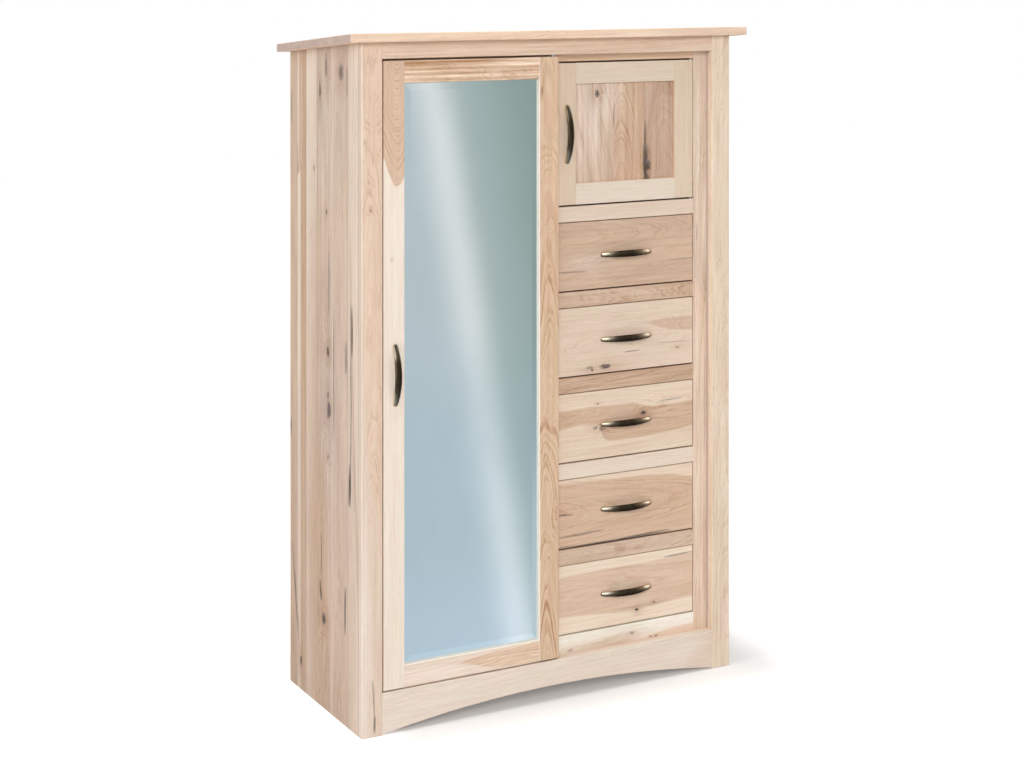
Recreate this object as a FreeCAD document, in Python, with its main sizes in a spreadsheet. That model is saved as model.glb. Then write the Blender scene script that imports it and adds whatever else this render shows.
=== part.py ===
import FreeCAD, Part
import Sketcher
import os
import re

# A chifforobe: a hanging bay behind a mirrored door on the left, and a small door over five drawers on the right.
# Millimetres. The origin is on the floor under the middle of the whole piece, +Z is up and the front faces -Y.

DRAWERS = 5

SIZES = {
    # carcass
    "case_width": 1128,
    "case_depth": 560,
    "case_height": 1806,
    "side_thick": 22,
    "back_thick": 9,
    "top_thick": 23,
    "top_over_side": 41,
    "top_over_front": 29.3,
    "ease": 0.8,
    "top_ease": 1.6,
    # outer face frame
    "frame_thick": 20,
    "stile_width": 58,
    "top_rail_height": 42.5,
    "bottom_rail_top": 110.5,
    "arch_foot": 3,
    "arch_rise": 40,
    # lining and inner frame, set back from the outer frame
    "lining_thick": 13,
    "inner_thick": 20,
    "frame_foot": 67.5,
    "inner_stile_show": 42,
    "mid_stile_width": 48,
    "inner_head_show": 18.7,
    "inner_sill_show": 49.5,
    "drawer_opening": 194,
    "drawer_rail_height": 42.6,
    # inside the case
    "partition_thick": 18,
    "floor_thick": 18,
    "floor_drop": 12,
    "shelf_thick": 18,
    "hat_space": 260,
    "cleat_thick": 15,
    "cleat_height": 36,
    "cleat_length": 420,
    "rod_radius": 14,
    "rod_drop": 72,
    "cup_wall": 4,
    "cup_depth": 14,
    "cup_floor": 3,
    "rod_play": 0.2,
    # mirrored door
    "door_thick": 25,
    "door_setback": 1,
    "door_side_gap": 4,
    "door_foot_gap": 4,
    "door_head_gap": 5.5,
    "door_lap": 37.2,
    "door_stile_width": 59,
    "door_rail_width": 59,
    "glass_lip": 8,
    "glass_rabbet": 8,
    "glass_play": 0.8,
    "glass_thick": 5,
    "glass_bevel": 27,
    "glass_bevel_depth": 2.5,
    "glass_seat_play": 0.2,
    "backing_thick": 6,
    "door_pull_height": 935,
    "door_pull_shift": 2.5,
    # small door
    "small_door_thick": 20,
    "small_door_foot_gap": 4.5,
    "small_door_head_gap": 4.5,
    "small_stile_width": 58,
    "small_rail_width": 58.5,
    "panel_recess": 9,
    "panel_thick": 6,
    "panel_tongue": 8,
    "panel_play": 0.8,
    # pivot hinges of the two doors
    "door_pivot_inset": 12.2,
    "door_leaf_length": 44,
    "door_leaf_tail": 8,
    "door_leaf_width": 11,
    "door_leaf_thick": 2.5,
    "door_pin_radius": 2.5,
    "door_boss_radius": 5,
    "small_pivot_inset": 5,
    "small_pivot_depth": 4,
    "small_leaf_length": 38,
    "small_leaf_tail": 4,
    "small_leaf_width": 6,
    "small_leaf_thick": 2,
    "small_pin_radius": 1.5,
    "small_boss_radius": 2.6,
    "pin_play": 0.05,
    "running_gap": 0.3,
    # magnet catches
    "catch_height": 40,
    "catch_width": 26,
    "catch_inset": 8,
    "small_catch_width": 12,
    "small_catch_depth": 22,
    # drawers
    "drawer_gap": 2.2,
    "drawer_foot_gap": 4,
    "front_setback": 1.5,
    "front_thick": 20,
    "box_lift": 14,
    "box_height": 150,
    "box_rear_gap": 46.5,
    "box_thick": 12,
    "bottom_lift": 10,
    "bottom_thick": 6,
    "bottom_groove": 6,
    # drawer runners
    "runner_space": 12.7,
    "runner_lift": 34,
    "runner_height": 45,
    "runner_flange": 10,
    "runner_gauge": 1.5,
    "runner_inset": 2,
    # pulls
    "pull_length": 163,
    "pull_projection": 29.5,
    "pull_bar": 6,
    "pull_foot": 12,
    "pull_width": 19,
    "pull_end_width": 13,
    "screw_radius": 2,
    "screw_play": 0.4,
    "screw_head_radius": 4,
    "screw_head_thick": 2.2,
}

doc = FreeCAD.newDocument("chifforobe")
sheet = doc.addObject("Spreadsheet::Sheet", "sizes")
for row, (name, size) in enumerate(SIZES.items(), 1):
    sheet.set(f"A{row}", name)
    sheet.set(f"B{row}", str(size))
    sheet.setAlias(f"B{row}", name)
doc.recompute()

nodes = []
corners = {}


# ---- helpers: every length is an expression in the names of the sheet ----

def cells(text):
    """The expression with each size's name pointed at its cell."""
    return re.sub(r"[a-z_]+", lambda word: "sizes." + word[0] if word[0] in SIZES else word[0], text)


def tie(thing, prop, text):
    thing.setExpression(prop, cells(text))


def worth(text):
    """What an expression comes to with the sizes as they are."""
    return float(sheet.evalExpression(cells(text)))


def less(end, start):
    return f"(({end}) - ({start}))"


def place(thing, spot, turn=None):
    if turn:
        thing.Placement = FreeCAD.Placement(FreeCAD.Vector(), turn)
    for axis, text in zip("xyz", spot):
        tie(thing, "Placement.Base." + axis, text)


def block(body, kind, low, high):
    """A box feature of a body, from one corner to the other."""
    box = body.newObject("PartDesign::" + kind, body.Name + "_block")
    for side, start, end in zip(("Length", "Width", "Height"), low, high):
        tie(box, side, less(end, start))
    place(box, [less(at, origin) for at, origin in zip(low, corners[body.Name])])
    return box


def board(name, low, high, ease="ease"):
    """A board between two corners, its arrises eased."""
    body = doc.addObject("PartDesign::Body", name)
    corners[body.Name] = low
    place(body, low)
    box = block(body, "AdditiveBox", low, high)
    if ease:
        arris = body.newObject("PartDesign::Chamfer", name + "_arris")
        arris.Base = box
        arris.UseAllEdges = True
        tie(arris, "Size", ease)
    return body


def cut(body, low, high):
    """A straight-sided rabbet, groove or mortise."""
    return block(body, "SubtractiveBox", low, high)


def round_feature(body, kind, spot, radius, length, turn=None):
    """A round boss, pin or hole of a body, along its own +Z unless it is turned."""
    rod = body.newObject("PartDesign::" + kind, body.Name + "_round")
    tie(rod, "Radius", radius)
    tie(rod, "Height", length)
    place(rod, [less(at, origin) for at, origin in zip(spot, corners[body.Name])], turn)
    return rod


def keep(thing):
    """Makes an object a node of its own."""
    nodes.append(thing)
    return thing


def group(name, members):
    """Makes several solids one node."""
    bundle = doc.addObject("Part::Compound", name)
    bundle.Links = members
    return keep(bundle)


def both_sides(near, far):
    """The same stretch of X to the left and to the right of the middle."""
    return {"left": (f"(-{far})", f"(-{near})"), "right": (near, far)}


def outline(sketch, points):
    """A closed loop of corners (x, y, rise): rise is None for a straight edge on to the next corner, or how far the
    arc to it stands out to the left of that edge."""
    first = sketch.GeometryCount
    spots = [FreeCAD.Vector(worth(x), worth(y), 0) for x, y, rise in points]
    for here, (there, (x, y, rise)) in enumerate(zip(spots[1:] + spots[:1], points)):
        start = spots[here]
        if rise is None:
            sketch.addGeometry(Part.LineSegment(start, there), False)
            continue
        along = (there - start).normalize()
        top = (start + there) * 0.5 + FreeCAD.Vector(-along.y, along.x, 0) * worth(rise)
        sketch.addGeometry(Part.Arc(start, top, there), False)
    ends = []
    for here, (x, y, rise) in enumerate(points):
        edge = first + here
        near = 1
        if rise is not None and (sketch.getPoint(edge, 1) - spots[here]).Length > 1e-6:
            near = 2
        ends.append((edge, near, 3 - near))
    for here, (x, y, rise) in enumerate(points):
        edge, near, far = ends[here]
        after = ends[(here + 1) % len(points)]
        sketch.addConstraint(Sketcher.Constraint("Coincident", edge, far, after[0], after[1]))
        for kind, text, axis in (("DistanceX", x, -2), ("DistanceY", y, -1)):
            if text == "0":
                sketch.addConstraint(Sketcher.Constraint("PointOnObject", edge, near, axis))
                continue
            amount = worth(text)
            pair = (-1, 1, edge, near) if amount > 0 else (edge, near, -1, 1)
            number = sketch.addConstraint(Sketcher.Constraint(kind, *pair, abs(amount)))
            tie(sketch, f"Constraints[{number}]", text if amount > 0 else f"-({text})")
        if rise is not None:
            next_x, next_y = points[(here + 1) % len(points)][:2]
            chord = f"(({less(next_x, x)})^2 + ({less(next_y, y)})^2)"
            radius = f"({chord} / 4 + ({rise})^2) / (2 * abs({rise}))"
            number = sketch.addConstraint(Sketcher.Constraint("Radius", edge, worth(radius)))
            tie(sketch, f"Constraints[{number}]", radius)


def drawn(body, name, plane, loops):
    """A sketch of closed loops on one of the body's own origin planes."""
    sketch = body.newObject("Sketcher::SketchObject", name)
    datum = next(item for item in body.Origin.OriginFeatures if item.Role == plane)
    sketch.AttachmentSupport = [(datum, "")]
    sketch.MapMode = "FlatFace"
    for points in loops:
        outline(sketch, points)
    return sketch


along_y = FreeCAD.Rotation(FreeCAD.Vector(1, 0, 0), -90)
along_x = FreeCAD.Rotation(FreeCAD.Vector(0, 1, 0), 90)

# ---- shared places ----
half = "(case_width / 2)"
front = "((top_over_front - case_depth) / 2)"
rear = "((top_over_front + case_depth) / 2)"
stile_in = f"({half} - stile_width)"
wall_in = f"({half} - side_thick)"
frame_back = f"({front} + frame_thick)"
inner_face = f"({frame_back} + lining_thick)"
inner_back = f"({inner_face} + inner_thick)"
back_face = f"({rear} - back_thick)"
bay_near = "(mid_stile_width / 2)"
bay_far = f"({stile_in} - inner_stile_show)"
head = "(case_height - top_rail_height)"
sill = "bottom_rail_top"
bay_head = f"({head} - inner_head_show)"
bay_sill = f"({sill} + inner_sill_show)"
small_sill = f"({bay_sill} + {DRAWERS} * (drawer_opening + drawer_rail_height))"
floor_top = f"({bay_sill} - floor_drop)"
hang_wall = f"({bay_near} - partition_thick)"


def outer_frame():
    for side, (low, high) in both_sides(stile_in, half).items():
        keep(board(f"{side}_front_stile", (low, front, "0"), (high, frame_back, "case_height")))
    top_rail = board("top_front_rail", (f"-{stile_in}", front, head), (stile_in, frame_back, "case_height"))
    bottom_rail = board("bottom_front_rail", (f"-{stile_in}", front, "0"), (stile_in, frame_back, sill))
    arch_radius = f"(({stile_in}^2 + arch_rise^2) / (2 * arch_rise))"
    arch_axis = ("0", f"({front} - ease)", f"(arch_foot + arch_rise - {arch_radius})")
    round_feature(bottom_rail, "SubtractiveCylinder", arch_axis, arch_radius, "frame_thick + 2 * ease", along_y)
    return keep(top_rail), keep(bottom_rail)


def carcass():
    keep(board("top_board", (f"-({half} + top_over_side)", f"({front} - top_over_front)", "case_height"),
               (f"({half} + top_over_side)", rear, "(case_height + top_thick)"), "top_ease"))
    for side, (low, high) in both_sides(wall_in, half).items():
        keep(board(f"{side}_side_panel", (low, frame_back, "0"), (high, rear, "case_height")))
    keep(board("back_panel", (f"-{wall_in}", back_face, "frame_foot"), (wall_in, rear, "case_height")))
    keep(board("floor_panel", (f"-{wall_in}", inner_back, f"({floor_top} - floor_thick)"),
               (wall_in, back_face, floor_top)))


def inner_frame():
    """The lining behind the outer frame, and the frame that the drawers and the small door close into."""
    strips = [board(f"{side}_lining", (low, frame_back, "frame_foot"), (high, inner_face, "case_height"))
              for side, (low, high) in both_sides(stile_in, wall_in).items()]
    for name, low, high in (("top_lining", head, "case_height"), ("bottom_lining", "frame_foot", sill)):
        strips.append(board(name, (f"-{stile_in}", frame_back, low), (stile_in, inner_face, high)))
    group("recess_lining", strips)

    for side, (low, high) in both_sides(bay_far, wall_in).items():
        keep(board(f"inner_{side}_stile", (low, inner_face, "frame_foot"), (high, inner_back, "case_height")))
    keep(board("inner_middle_stile", (f"-{bay_near}", inner_face, "frame_foot"),
               (bay_near, inner_back, "case_height")))

    heads, sills = {}, {}
    for side, (low, high) in both_sides(bay_near, bay_far).items():
        heads[side] = board(f"{side}_head_rail", (low, inner_face, bay_head), (high, inner_back, "case_height"))
        sills[side] = board(f"{side}_sill_rail", (low, inner_face, "frame_foot"), (high, inner_back, bay_sill))
    group("inner_top_rails", list(heads.values()))
    group("inner_bottom_rails", list(sills.values()))

    rails = []
    for number in range(1, DRAWERS + 1):
        low = f"({bay_sill} + {number} * drawer_opening + {number - 1} * drawer_rail_height)"
        rails.append(board(f"drawer_rail_{number}", (bay_near, inner_face, low),
                           (bay_far, inner_back, f"({low} + drawer_rail_height)")))
    group("drawer_rails", rails)
    return heads["right"], rails[-1]


def fittings():
    """Partitions, shelves and the hanging rod."""
    for name, low, high in (("centre_partition", hang_wall, bay_near),
                            ("drawer_side_panel", bay_far, f"({bay_far} + partition_thick)")):
        keep(board(name, (low, inner_back, floor_top), (high, back_face, "case_height")))
    keep(board("compartment_floor", (bay_near, inner_back, f"({small_sill} - shelf_thick)"),
               (bay_far, back_face, small_sill)))

    shelf_top = "(case_height - hat_space)"
    shelf_under = f"({shelf_top} - shelf_thick)"
    keep(board("hat_shelf", (f"-{wall_in}", inner_back, shelf_under), (hang_wall, back_face, shelf_top)))
    cleats = []
    for side, low, high in (("left", f"-{wall_in}", f"(cleat_thick - {wall_in})"),
                            ("right", f"({hang_wall} - cleat_thick)", hang_wall)):
        cleats.append(board(f"{side}_cleat", (low, f"({back_face} - cleat_length)", f"({shelf_under} - cleat_height)"),
                            (high, back_face, shelf_under)))
    group("shelf_cleats", cleats)

    middle = f"(({inner_back} + {back_face}) / 2)"
    height = f"({shelf_under} - rod_drop)"
    cups = []
    for side, seat, mouth in (("left", f"(-{wall_in})", f"(cup_floor - {wall_in})"),
                              ("right", f"({hang_wall} - cup_depth)", f"({hang_wall} - cup_depth)")):
        cup = doc.addObject("PartDesign::Body", f"{side}_cup")
        corners[cup.Name] = (seat, middle, height)
        place(cup, corners[cup.Name])
        round_feature(cup, "AdditiveCylinder", corners[cup.Name], "rod_radius + rod_play + cup_wall", "cup_depth",
                      along_x)
        round_feature(cup, "SubtractiveCylinder", (mouth, middle, height), "rod_radius + rod_play",
                      "cup_depth - cup_floor", along_x)
        cups.append(cup)
    group("rod_cups", cups)

    rod = doc.addObject("PartDesign::Body", "hanging_rod")
    start = f"(cup_floor + rod_play - {wall_in})"
    corners[rod.Name] = (start, middle, height)
    place(rod, corners[rod.Name])
    round_feature(rod, "AdditiveCylinder", corners[rod.Name], "rod_radius",
                  less(f"{hang_wall} - cup_floor - rod_play", start), along_x)
    keep(rod)


def pull(name, spot, upright):
    """A bow pull: a bar bent to an arc from tip to tip, widest at its middle."""
    bar = doc.addObject("PartDesign::Body", f"{name}_bow")
    lie = FreeCAD.Rotation(FreeCAD.Vector(1, 0, 0), 90)
    stand = FreeCAD.Rotation(FreeCAD.Vector(0, 1, 0), -90) * lie
    place(bar, spot, stand if upright else lie)
    tip, heel = "pull_length / 2", "(pull_length / 2 - pull_foot)"
    bow = drawn(bar, f"{name}_side_view", "XZ_Plane", [[
        (tip, "0", None), (heel, "0", "-(pull_projection - pull_bar)"), (f"-{heel}", "0", None),
        (f"-({tip})", "0", "pull_projection")]])
    pad = bar.newObject("PartDesign::Pad", f"{name}_pad")
    pad.Profile = bow
    pad.Midplane = True
    tie(pad, "Length", "2 * pull_width")
    long, wide = "pull_length", "(3 * pull_width)"
    end = "(pull_end_width / 2)"
    swell = "-((pull_width - pull_end_width) / 2)"
    short = "(pull_length / 2 + pull_bar / 2)"
    trim = drawn(bar, f"{name}_front_view", "XY_Plane", [
        [(long, wide, None), (f"-{long}", wide, None), (f"-{long}", f"-{wide}", None), (long, f"-{wide}", None)],
        [(short, end, swell), (f"-{short}", end, None), (f"-{short}", f"-{end}", swell), (short, f"-{end}", None)]])
    pocket = bar.newObject("PartDesign::Pocket", f"{name}_leaf_shape")
    pocket.Profile = trim
    pocket.Type = "ThroughAll"
    pocket.Midplane = True
    return bar


def pull_screws(name, spot, length, upright, boards):
    """Two screws from inside, through clearance holes in the boards, up to the pull's feet."""
    screws = []
    for number, sign in enumerate(("-", "+"), 1):
        reach = f"{sign} (pull_length - pull_foot) / 2"
        shift = {"x": "" if upright else reach, "z": reach if upright else ""}
        seat = (f"({spot[0]} {shift['x']})", spot[1], f"({spot[2]} {shift['z']})")
        screw = doc.addObject("PartDesign::Body", f"{name}_screw_{number}")
        corners[screw.Name] = seat
        place(screw, seat)
        round_feature(screw, "AdditiveCylinder", seat, "screw_radius", length, along_y)
        round_feature(screw, "AdditiveCylinder", (seat[0], f"({seat[1]} + {length})", seat[2]), "screw_head_radius",
                      "screw_head_thick", along_y)
        for wood in boards:
            start = (seat[0], f"({seat[1]} - ease)", seat[2])
            round_feature(wood, "SubtractiveCylinder", start, "screw_radius + screw_play",
                          f"({length} + 2 * ease)", along_y)
        screws.append(screw)
    return screws


def pivot(name, kind, axis, door_end, frame_end, up, door_wood, frame_wood):
    """One knife hinge: a leaf let into the end of the door carries a boss and a pin, and a plate let into the frame
    has the hole that the pin turns in."""
    sign, other = ("+", "-") if up else ("-", "+")
    leaf_low = (f"({axis[0]} - {kind}_leaf_length)", f"({axis[1]} - {kind}_leaf_width / 2)")
    leaf_high = (f"({axis[0]} + {kind}_leaf_tail)", f"({axis[1]} + {kind}_leaf_width / 2)")

    def slab(near, far):
        ends = (near, far) if up else (far, near)
        return (*leaf_low, ends[0]), (*leaf_high, ends[1])

    leaf_span = slab(f"({door_end} {other} {kind}_leaf_thick)", door_end)
    plate_span = slab(frame_end, f"({frame_end} {sign} {kind}_leaf_thick)")
    leaf = board(f"{name}_leaf", *leaf_span, None)
    boss_end = f"({frame_end} {other} running_gap)"
    boss_low = door_end if up else boss_end
    pin_low = boss_end if up else f"({boss_end} - {kind}_leaf_thick)"
    round_feature(leaf, "AdditiveCylinder", (*axis, boss_low), f"{kind}_boss_radius",
                  less(boss_end, door_end) if up else less(door_end, boss_end))
    round_feature(leaf, "AdditiveCylinder", (*axis, pin_low), f"{kind}_pin_radius", f"{kind}_leaf_thick")
    plate = board(f"{name}_plate", *plate_span, None)
    round_feature(plate, "SubtractiveCylinder", (*axis, plate_span[0][2]), f"{kind}_pin_radius + pin_play",
                  f"{kind}_leaf_thick")
    cut(door_wood, *leaf_span)
    cut(frame_wood, *plate_span)
    return leaf, plate


def door_frame(name, low, high, stile_width, rail_width, channel, reach):
    """Stiles the full height with rails between them. Channel is the (y low, y high) of the rabbet or groove that
    goes round their inner edges, and reach is its depth."""
    left_in, right_in = f"({low[0]} + {stile_width})", f"({high[0]} - {stile_width})"
    rail_top, rail_under = f"({low[2]} + {rail_width})", f"({high[2]} - {rail_width})"
    left = board(f"{name}_left_stile", low, (left_in, high[1], high[2]))
    right = board(f"{name}_right_stile", (right_in, low[1], low[2]), high)
    foot = board(f"{name}_bottom_rail", (left_in, low[1], low[2]), (right_in, high[1], rail_top))
    top = board(f"{name}_top_rail", (left_in, low[1], rail_under), (right_in, high[1], high[2]))
    z_low, z_high = f"({rail_top} - {reach})", f"({rail_under} + {reach})"
    cut(left, (f"({left_in} - {reach})", channel[0], z_low), (left_in, channel[1], z_high))
    cut(right, (right_in, channel[0], z_low), (f"({right_in} + {reach})", channel[1], z_high))
    cut(foot, (left_in, channel[0], z_low), (right_in, channel[1], rail_top))
    cut(top, (left_in, channel[0], rail_under), (right_in, channel[1], z_high))
    sight = ((left_in, rail_top), (right_in, rail_under))
    keep(left)
    keep(right)
    group(f"{name}_rails", [foot, top])
    return left, right, sight


def mirror_door(top_rail, bottom_rail):
    face, rear_face = f"({front} + door_setback)", f"({front} + door_setback + door_thick)"
    low = (f"(door_side_gap - {stile_in})", face, f"({sill} + door_foot_gap)")
    high = (f"(door_lap - {bay_near})", rear_face, f"({head} - door_head_gap)")
    seat = f"({face} + glass_lip)"
    left, right, sight = door_frame("mirror_door", low, high, "door_stile_width", "door_rail_width",
                                    (seat, rear_face), "glass_rabbet")

    # the bevel's slope bears on the lip's inner corner, so the flat of the glass stands ahead of the rabbet's floor
    edge = "(glass_rabbet - glass_play)"
    pane_front = f"({seat} + glass_seat_play - glass_bevel_depth * (1 - {edge} / glass_bevel))"
    pane_low = [f"({at} - {edge})" for at in sight[0]]
    pane_high = [f"({at} + {edge})" for at in sight[1]]
    pane_back = f"({pane_front} + glass_thick)"
    glass = doc.addObject("PartDesign::Body", "mirror_glass")
    corners[glass.Name] = (pane_low[0], pane_front, pane_low[1])
    place(glass, corners[glass.Name])
    bevel = glass.newObject("PartDesign::AdditiveWedge", "mirror_glass_bevel")
    for axis, span in (("X", less(pane_high[0], pane_low[0])), ("Z", less(pane_high[1], pane_low[1]))):
        tie(bevel, axis + "min", "glass_bevel")
        tie(bevel, axis + "max", f"({span} - glass_bevel)")
        tie(bevel, axis + "2max", span)
    bevel.X2min = bevel.Z2min = bevel.Ymin = 0
    tie(bevel, "Ymax", "glass_bevel_depth")
    block(glass, "AdditiveBox", (pane_low[0], f"({pane_front} + glass_bevel_depth)", pane_low[1]),
          (pane_high[0], pane_back, pane_high[1]))
    keep(glass)
    keep(board("mirror_backing", (pane_low[0], pane_back, pane_low[1]),
               (pane_high[0], f"({pane_back} + backing_thick)", pane_high[1]), None))

    spot = (f"({low[0]} + door_stile_width / 2 + door_pull_shift)", face, "door_pull_height")
    screws = pull_screws("mirror_door_pull", spot, "door_thick", True, [left])
    group("mirror_door_pull", [pull("mirror_door_pull", spot, True)] + screws)

    axis = (f"({high[0]} - door_pivot_inset)", f"({face} + door_thick / 2)")
    top = pivot("mirror_door_top", "door", axis, high[2], head, True, right, top_rail)
    foot = pivot("mirror_door_foot", "door", axis, low[2], sill, False, right, bottom_rail)
    group("mirror_door_hinge_leaves", [top[0], foot[0]])

    catch_low = (f"(catch_inset - {stile_in})", f"({rear_face} + running_gap)", "(door_pull_height - catch_height / 2)")
    catch = board("mirror_door_catch", catch_low,
                  (f"({catch_low[0]} + catch_width)", inner_face, "(door_pull_height + catch_height / 2)"))
    return [top[1], foot[1]], catch


def small_door(head_rail, sill_rail):
    face, rear_face = f"({inner_face} + door_setback)", f"({inner_face} + door_setback + small_door_thick)"
    low = (f"({bay_near} + drawer_gap)", face, f"({small_sill} + small_door_foot_gap)")
    high = (f"({bay_far} - drawer_gap)", rear_face, f"({bay_head} - small_door_head_gap)")
    groove = (f"({face} + panel_recess)", f"({face} + panel_recess + panel_thick)")
    left, right, sight = door_frame("small_door", low, high, "small_stile_width", "small_rail_width", groove,
                                    "(panel_tongue + panel_play)")
    keep(board("small_door_panel", (f"({sight[0][0]} - panel_tongue)", groove[0], f"({sight[0][1]} - panel_tongue)"),
               (f"({sight[1][0]} + panel_tongue)", groove[1], f"({sight[1][1]} + panel_tongue)"), None))

    middle = f"(({low[2]} + {high[2]}) / 2)"
    spot = (f"({low[0]} + small_stile_width / 2)", face, middle)
    screws = pull_screws("small_door_pull", spot, "small_door_thick", True, [left])
    group("small_door_pull", [pull("small_door_pull", spot, True)] + screws)

    axis = (f"({high[0]} - small_pivot_inset)", f"({face} + small_pivot_depth)")
    top = pivot("small_door_top", "small", axis, high[2], bay_head, True, right, head_rail)
    foot = pivot("small_door_foot", "small", axis, low[2], small_sill, False, right, sill_rail)
    group("small_door_hinge_leaves", [top[0], foot[0]])

    catch_low = (bay_near, f"({rear_face} + running_gap)", f"({middle} - catch_height / 2)")
    catch = board("small_door_catch", catch_low, (f"({bay_near} + small_catch_width)",
                                                  f"({catch_low[1]} + small_catch_depth)",
                                                  f"({middle} + catch_height / 2)"))
    return [top[1], foot[1]], catch


def drawer(number):
    """A front, a grooved box screwed to it, its pull and the moving halves of its runners. Gives the fixed halves."""
    name = f"drawer_{number}"
    base = f"({bay_sill} + {number - 1} * (drawer_opening + drawer_rail_height))"
    face = f"({inner_face} + front_setback)"
    box_y = f"({face} + front_thick)"
    front_board = board(f"{name}_front", (f"({bay_near} + drawer_gap)", face, f"({base} + drawer_foot_gap)"),
                        (f"({bay_far} - drawer_gap)", box_y, f"({base} + drawer_opening - drawer_gap)"))

    x_low, x_high = f"({bay_near} + runner_space)", f"({bay_far} - runner_space)"
    in_low, in_high = f"({x_low} + box_thick)", f"({x_high} - box_thick)"
    z_low, z_high = f"({base} + box_lift)", f"({base} + box_lift + box_height)"
    y_back = f"({back_face} - box_rear_gap)"
    y_in, y_out = f"({box_y} + box_thick)", f"({y_back} - box_thick)"
    left = board(f"{name}_left_side", (x_low, box_y, z_low), (in_low, y_back, z_high))
    right = board(f"{name}_right_side", (in_high, box_y, z_low), (x_high, y_back, z_high))
    box_front = board(f"{name}_box_front", (in_low, box_y, z_low), (in_high, y_in, z_high))
    box_back = board(f"{name}_box_back", (in_low, y_out, z_low), (in_high, y_back, z_high))
    slot = (f"({z_low} + bottom_lift)", f"({z_low} + bottom_lift + bottom_thick)")
    floor_low = (f"({in_low} - bottom_groove)", f"({y_in} - bottom_groove)", slot[0])
    floor_high = (f"({in_high} + bottom_groove)", f"({y_out} + bottom_groove)", slot[1])
    cut(left, floor_low, (in_low, floor_high[1], slot[1]))
    cut(right, (in_high, floor_low[1], slot[0]), floor_high)
    cut(box_front, (in_low, floor_low[1], slot[0]), (in_high, y_in, slot[1]))
    cut(box_back, (in_low, y_out, slot[0]), (in_high, floor_high[1], slot[1]))
    bottom = board(f"{name}_bottom", floor_low, floor_high, None)

    spot = (f"(({bay_near} + {bay_far}) / 2)", face, f"({base} + drawer_opening / 2)")
    screws = pull_screws(f"{name}_pull", spot, "(front_thick + box_thick)", False, [front_board, box_front])
    keep(front_board)
    group(f"{name}_box", [left, right, box_front, box_back, bottom])
    group(f"{name}_pull", [pull(f"{name}_pull", spot, False)] + screws)

    rail_low, rail_high = f"({base} + runner_lift)", f"({base} + runner_lift + runner_height)"
    thin_low, thin_high = f"({rail_low} + runner_gauge)", f"({rail_high} - runner_gauge)"
    ride_low, ride_high = f"({thin_low} + running_gap)", f"({thin_high} - running_gap)"
    slip = "(runner_gauge + running_gap)"
    run = f"({y_back} - {box_y} - runner_inset)"
    moving, fixed = [], []
    for side, wall, sign in (("left", bay_near, "+"), ("right", bay_far, "-")):
        def stretch(start, end):
            """The X range between two distances from the wall that carries the runner."""
            ends = (f"({wall} {sign} ({start}))", f"({wall} {sign} ({end}))")
            return ends if sign == "+" else ends[::-1]

        y_low = f"({inner_back} + runner_inset)"
        channel, hollow = stretch("0", "runner_flange"), stretch("runner_gauge", "runner_flange")
        outer = board(f"{name}_{side}_channel", (channel[0], y_low, rail_low),
                      (channel[1], f"({y_low} + {run})", rail_high), None)
        cut(outer, (hollow[0], y_low, thin_low), (hollow[1], f"({y_low} + {run})", thin_high))
        fixed.append(outer)

        channel, hollow = stretch(slip, "runner_space"), stretch(slip, "runner_space - runner_gauge")
        inner = board(f"{name}_{side}_slide", (channel[0], box_y, ride_low),
                      (channel[1], f"({box_y} + {run})", ride_high), None)
        cut(inner, (hollow[0], box_y, f"({ride_low} + runner_gauge)"),
            (hollow[1], f"({box_y} + {run})", f"({ride_high} - runner_gauge)"))
        moving.append(inner)
    group(f"{name}_runners", moving)
    return fixed


carcass()
top_rail, bottom_rail = outer_frame()
small_head, small_rail = inner_frame()
fittings()
mirror_plates, mirror_catch = mirror_door(top_rail, bottom_rail)
small_plates, small_catch = small_door(small_head, small_rail)
group("frame_hinge_plates", mirror_plates + small_plates)
group("door_catches", [mirror_catch, small_catch])
channels = []
for number in range(1, DRAWERS + 1):
    channels += drawer(number)
group("cabinet_runners", channels)

doc.recompute()
for thing in doc.Objects:
    if {"Invalid", "Error"} & set(thing.State):
        raise RuntimeError(f"{thing.Label} did not build: {thing.State}")
for thing in nodes:
    if thing.Shape.isNull() or not thing.Shape.isValid():
        raise RuntimeError(f"{thing.Label} has no valid shape")

os.makedirs("parts", exist_ok=True)
for thing in nodes:
    thing.Shape.exportStep(f"parts/{thing.Label}.step")
print(f"{len(nodes)} nodes, {sum(len(thing.Shape.Solids) for thing in nodes)} solids")
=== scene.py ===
import math

import bpy
import numpy as np
from mathutils import Matrix, Vector


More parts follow.
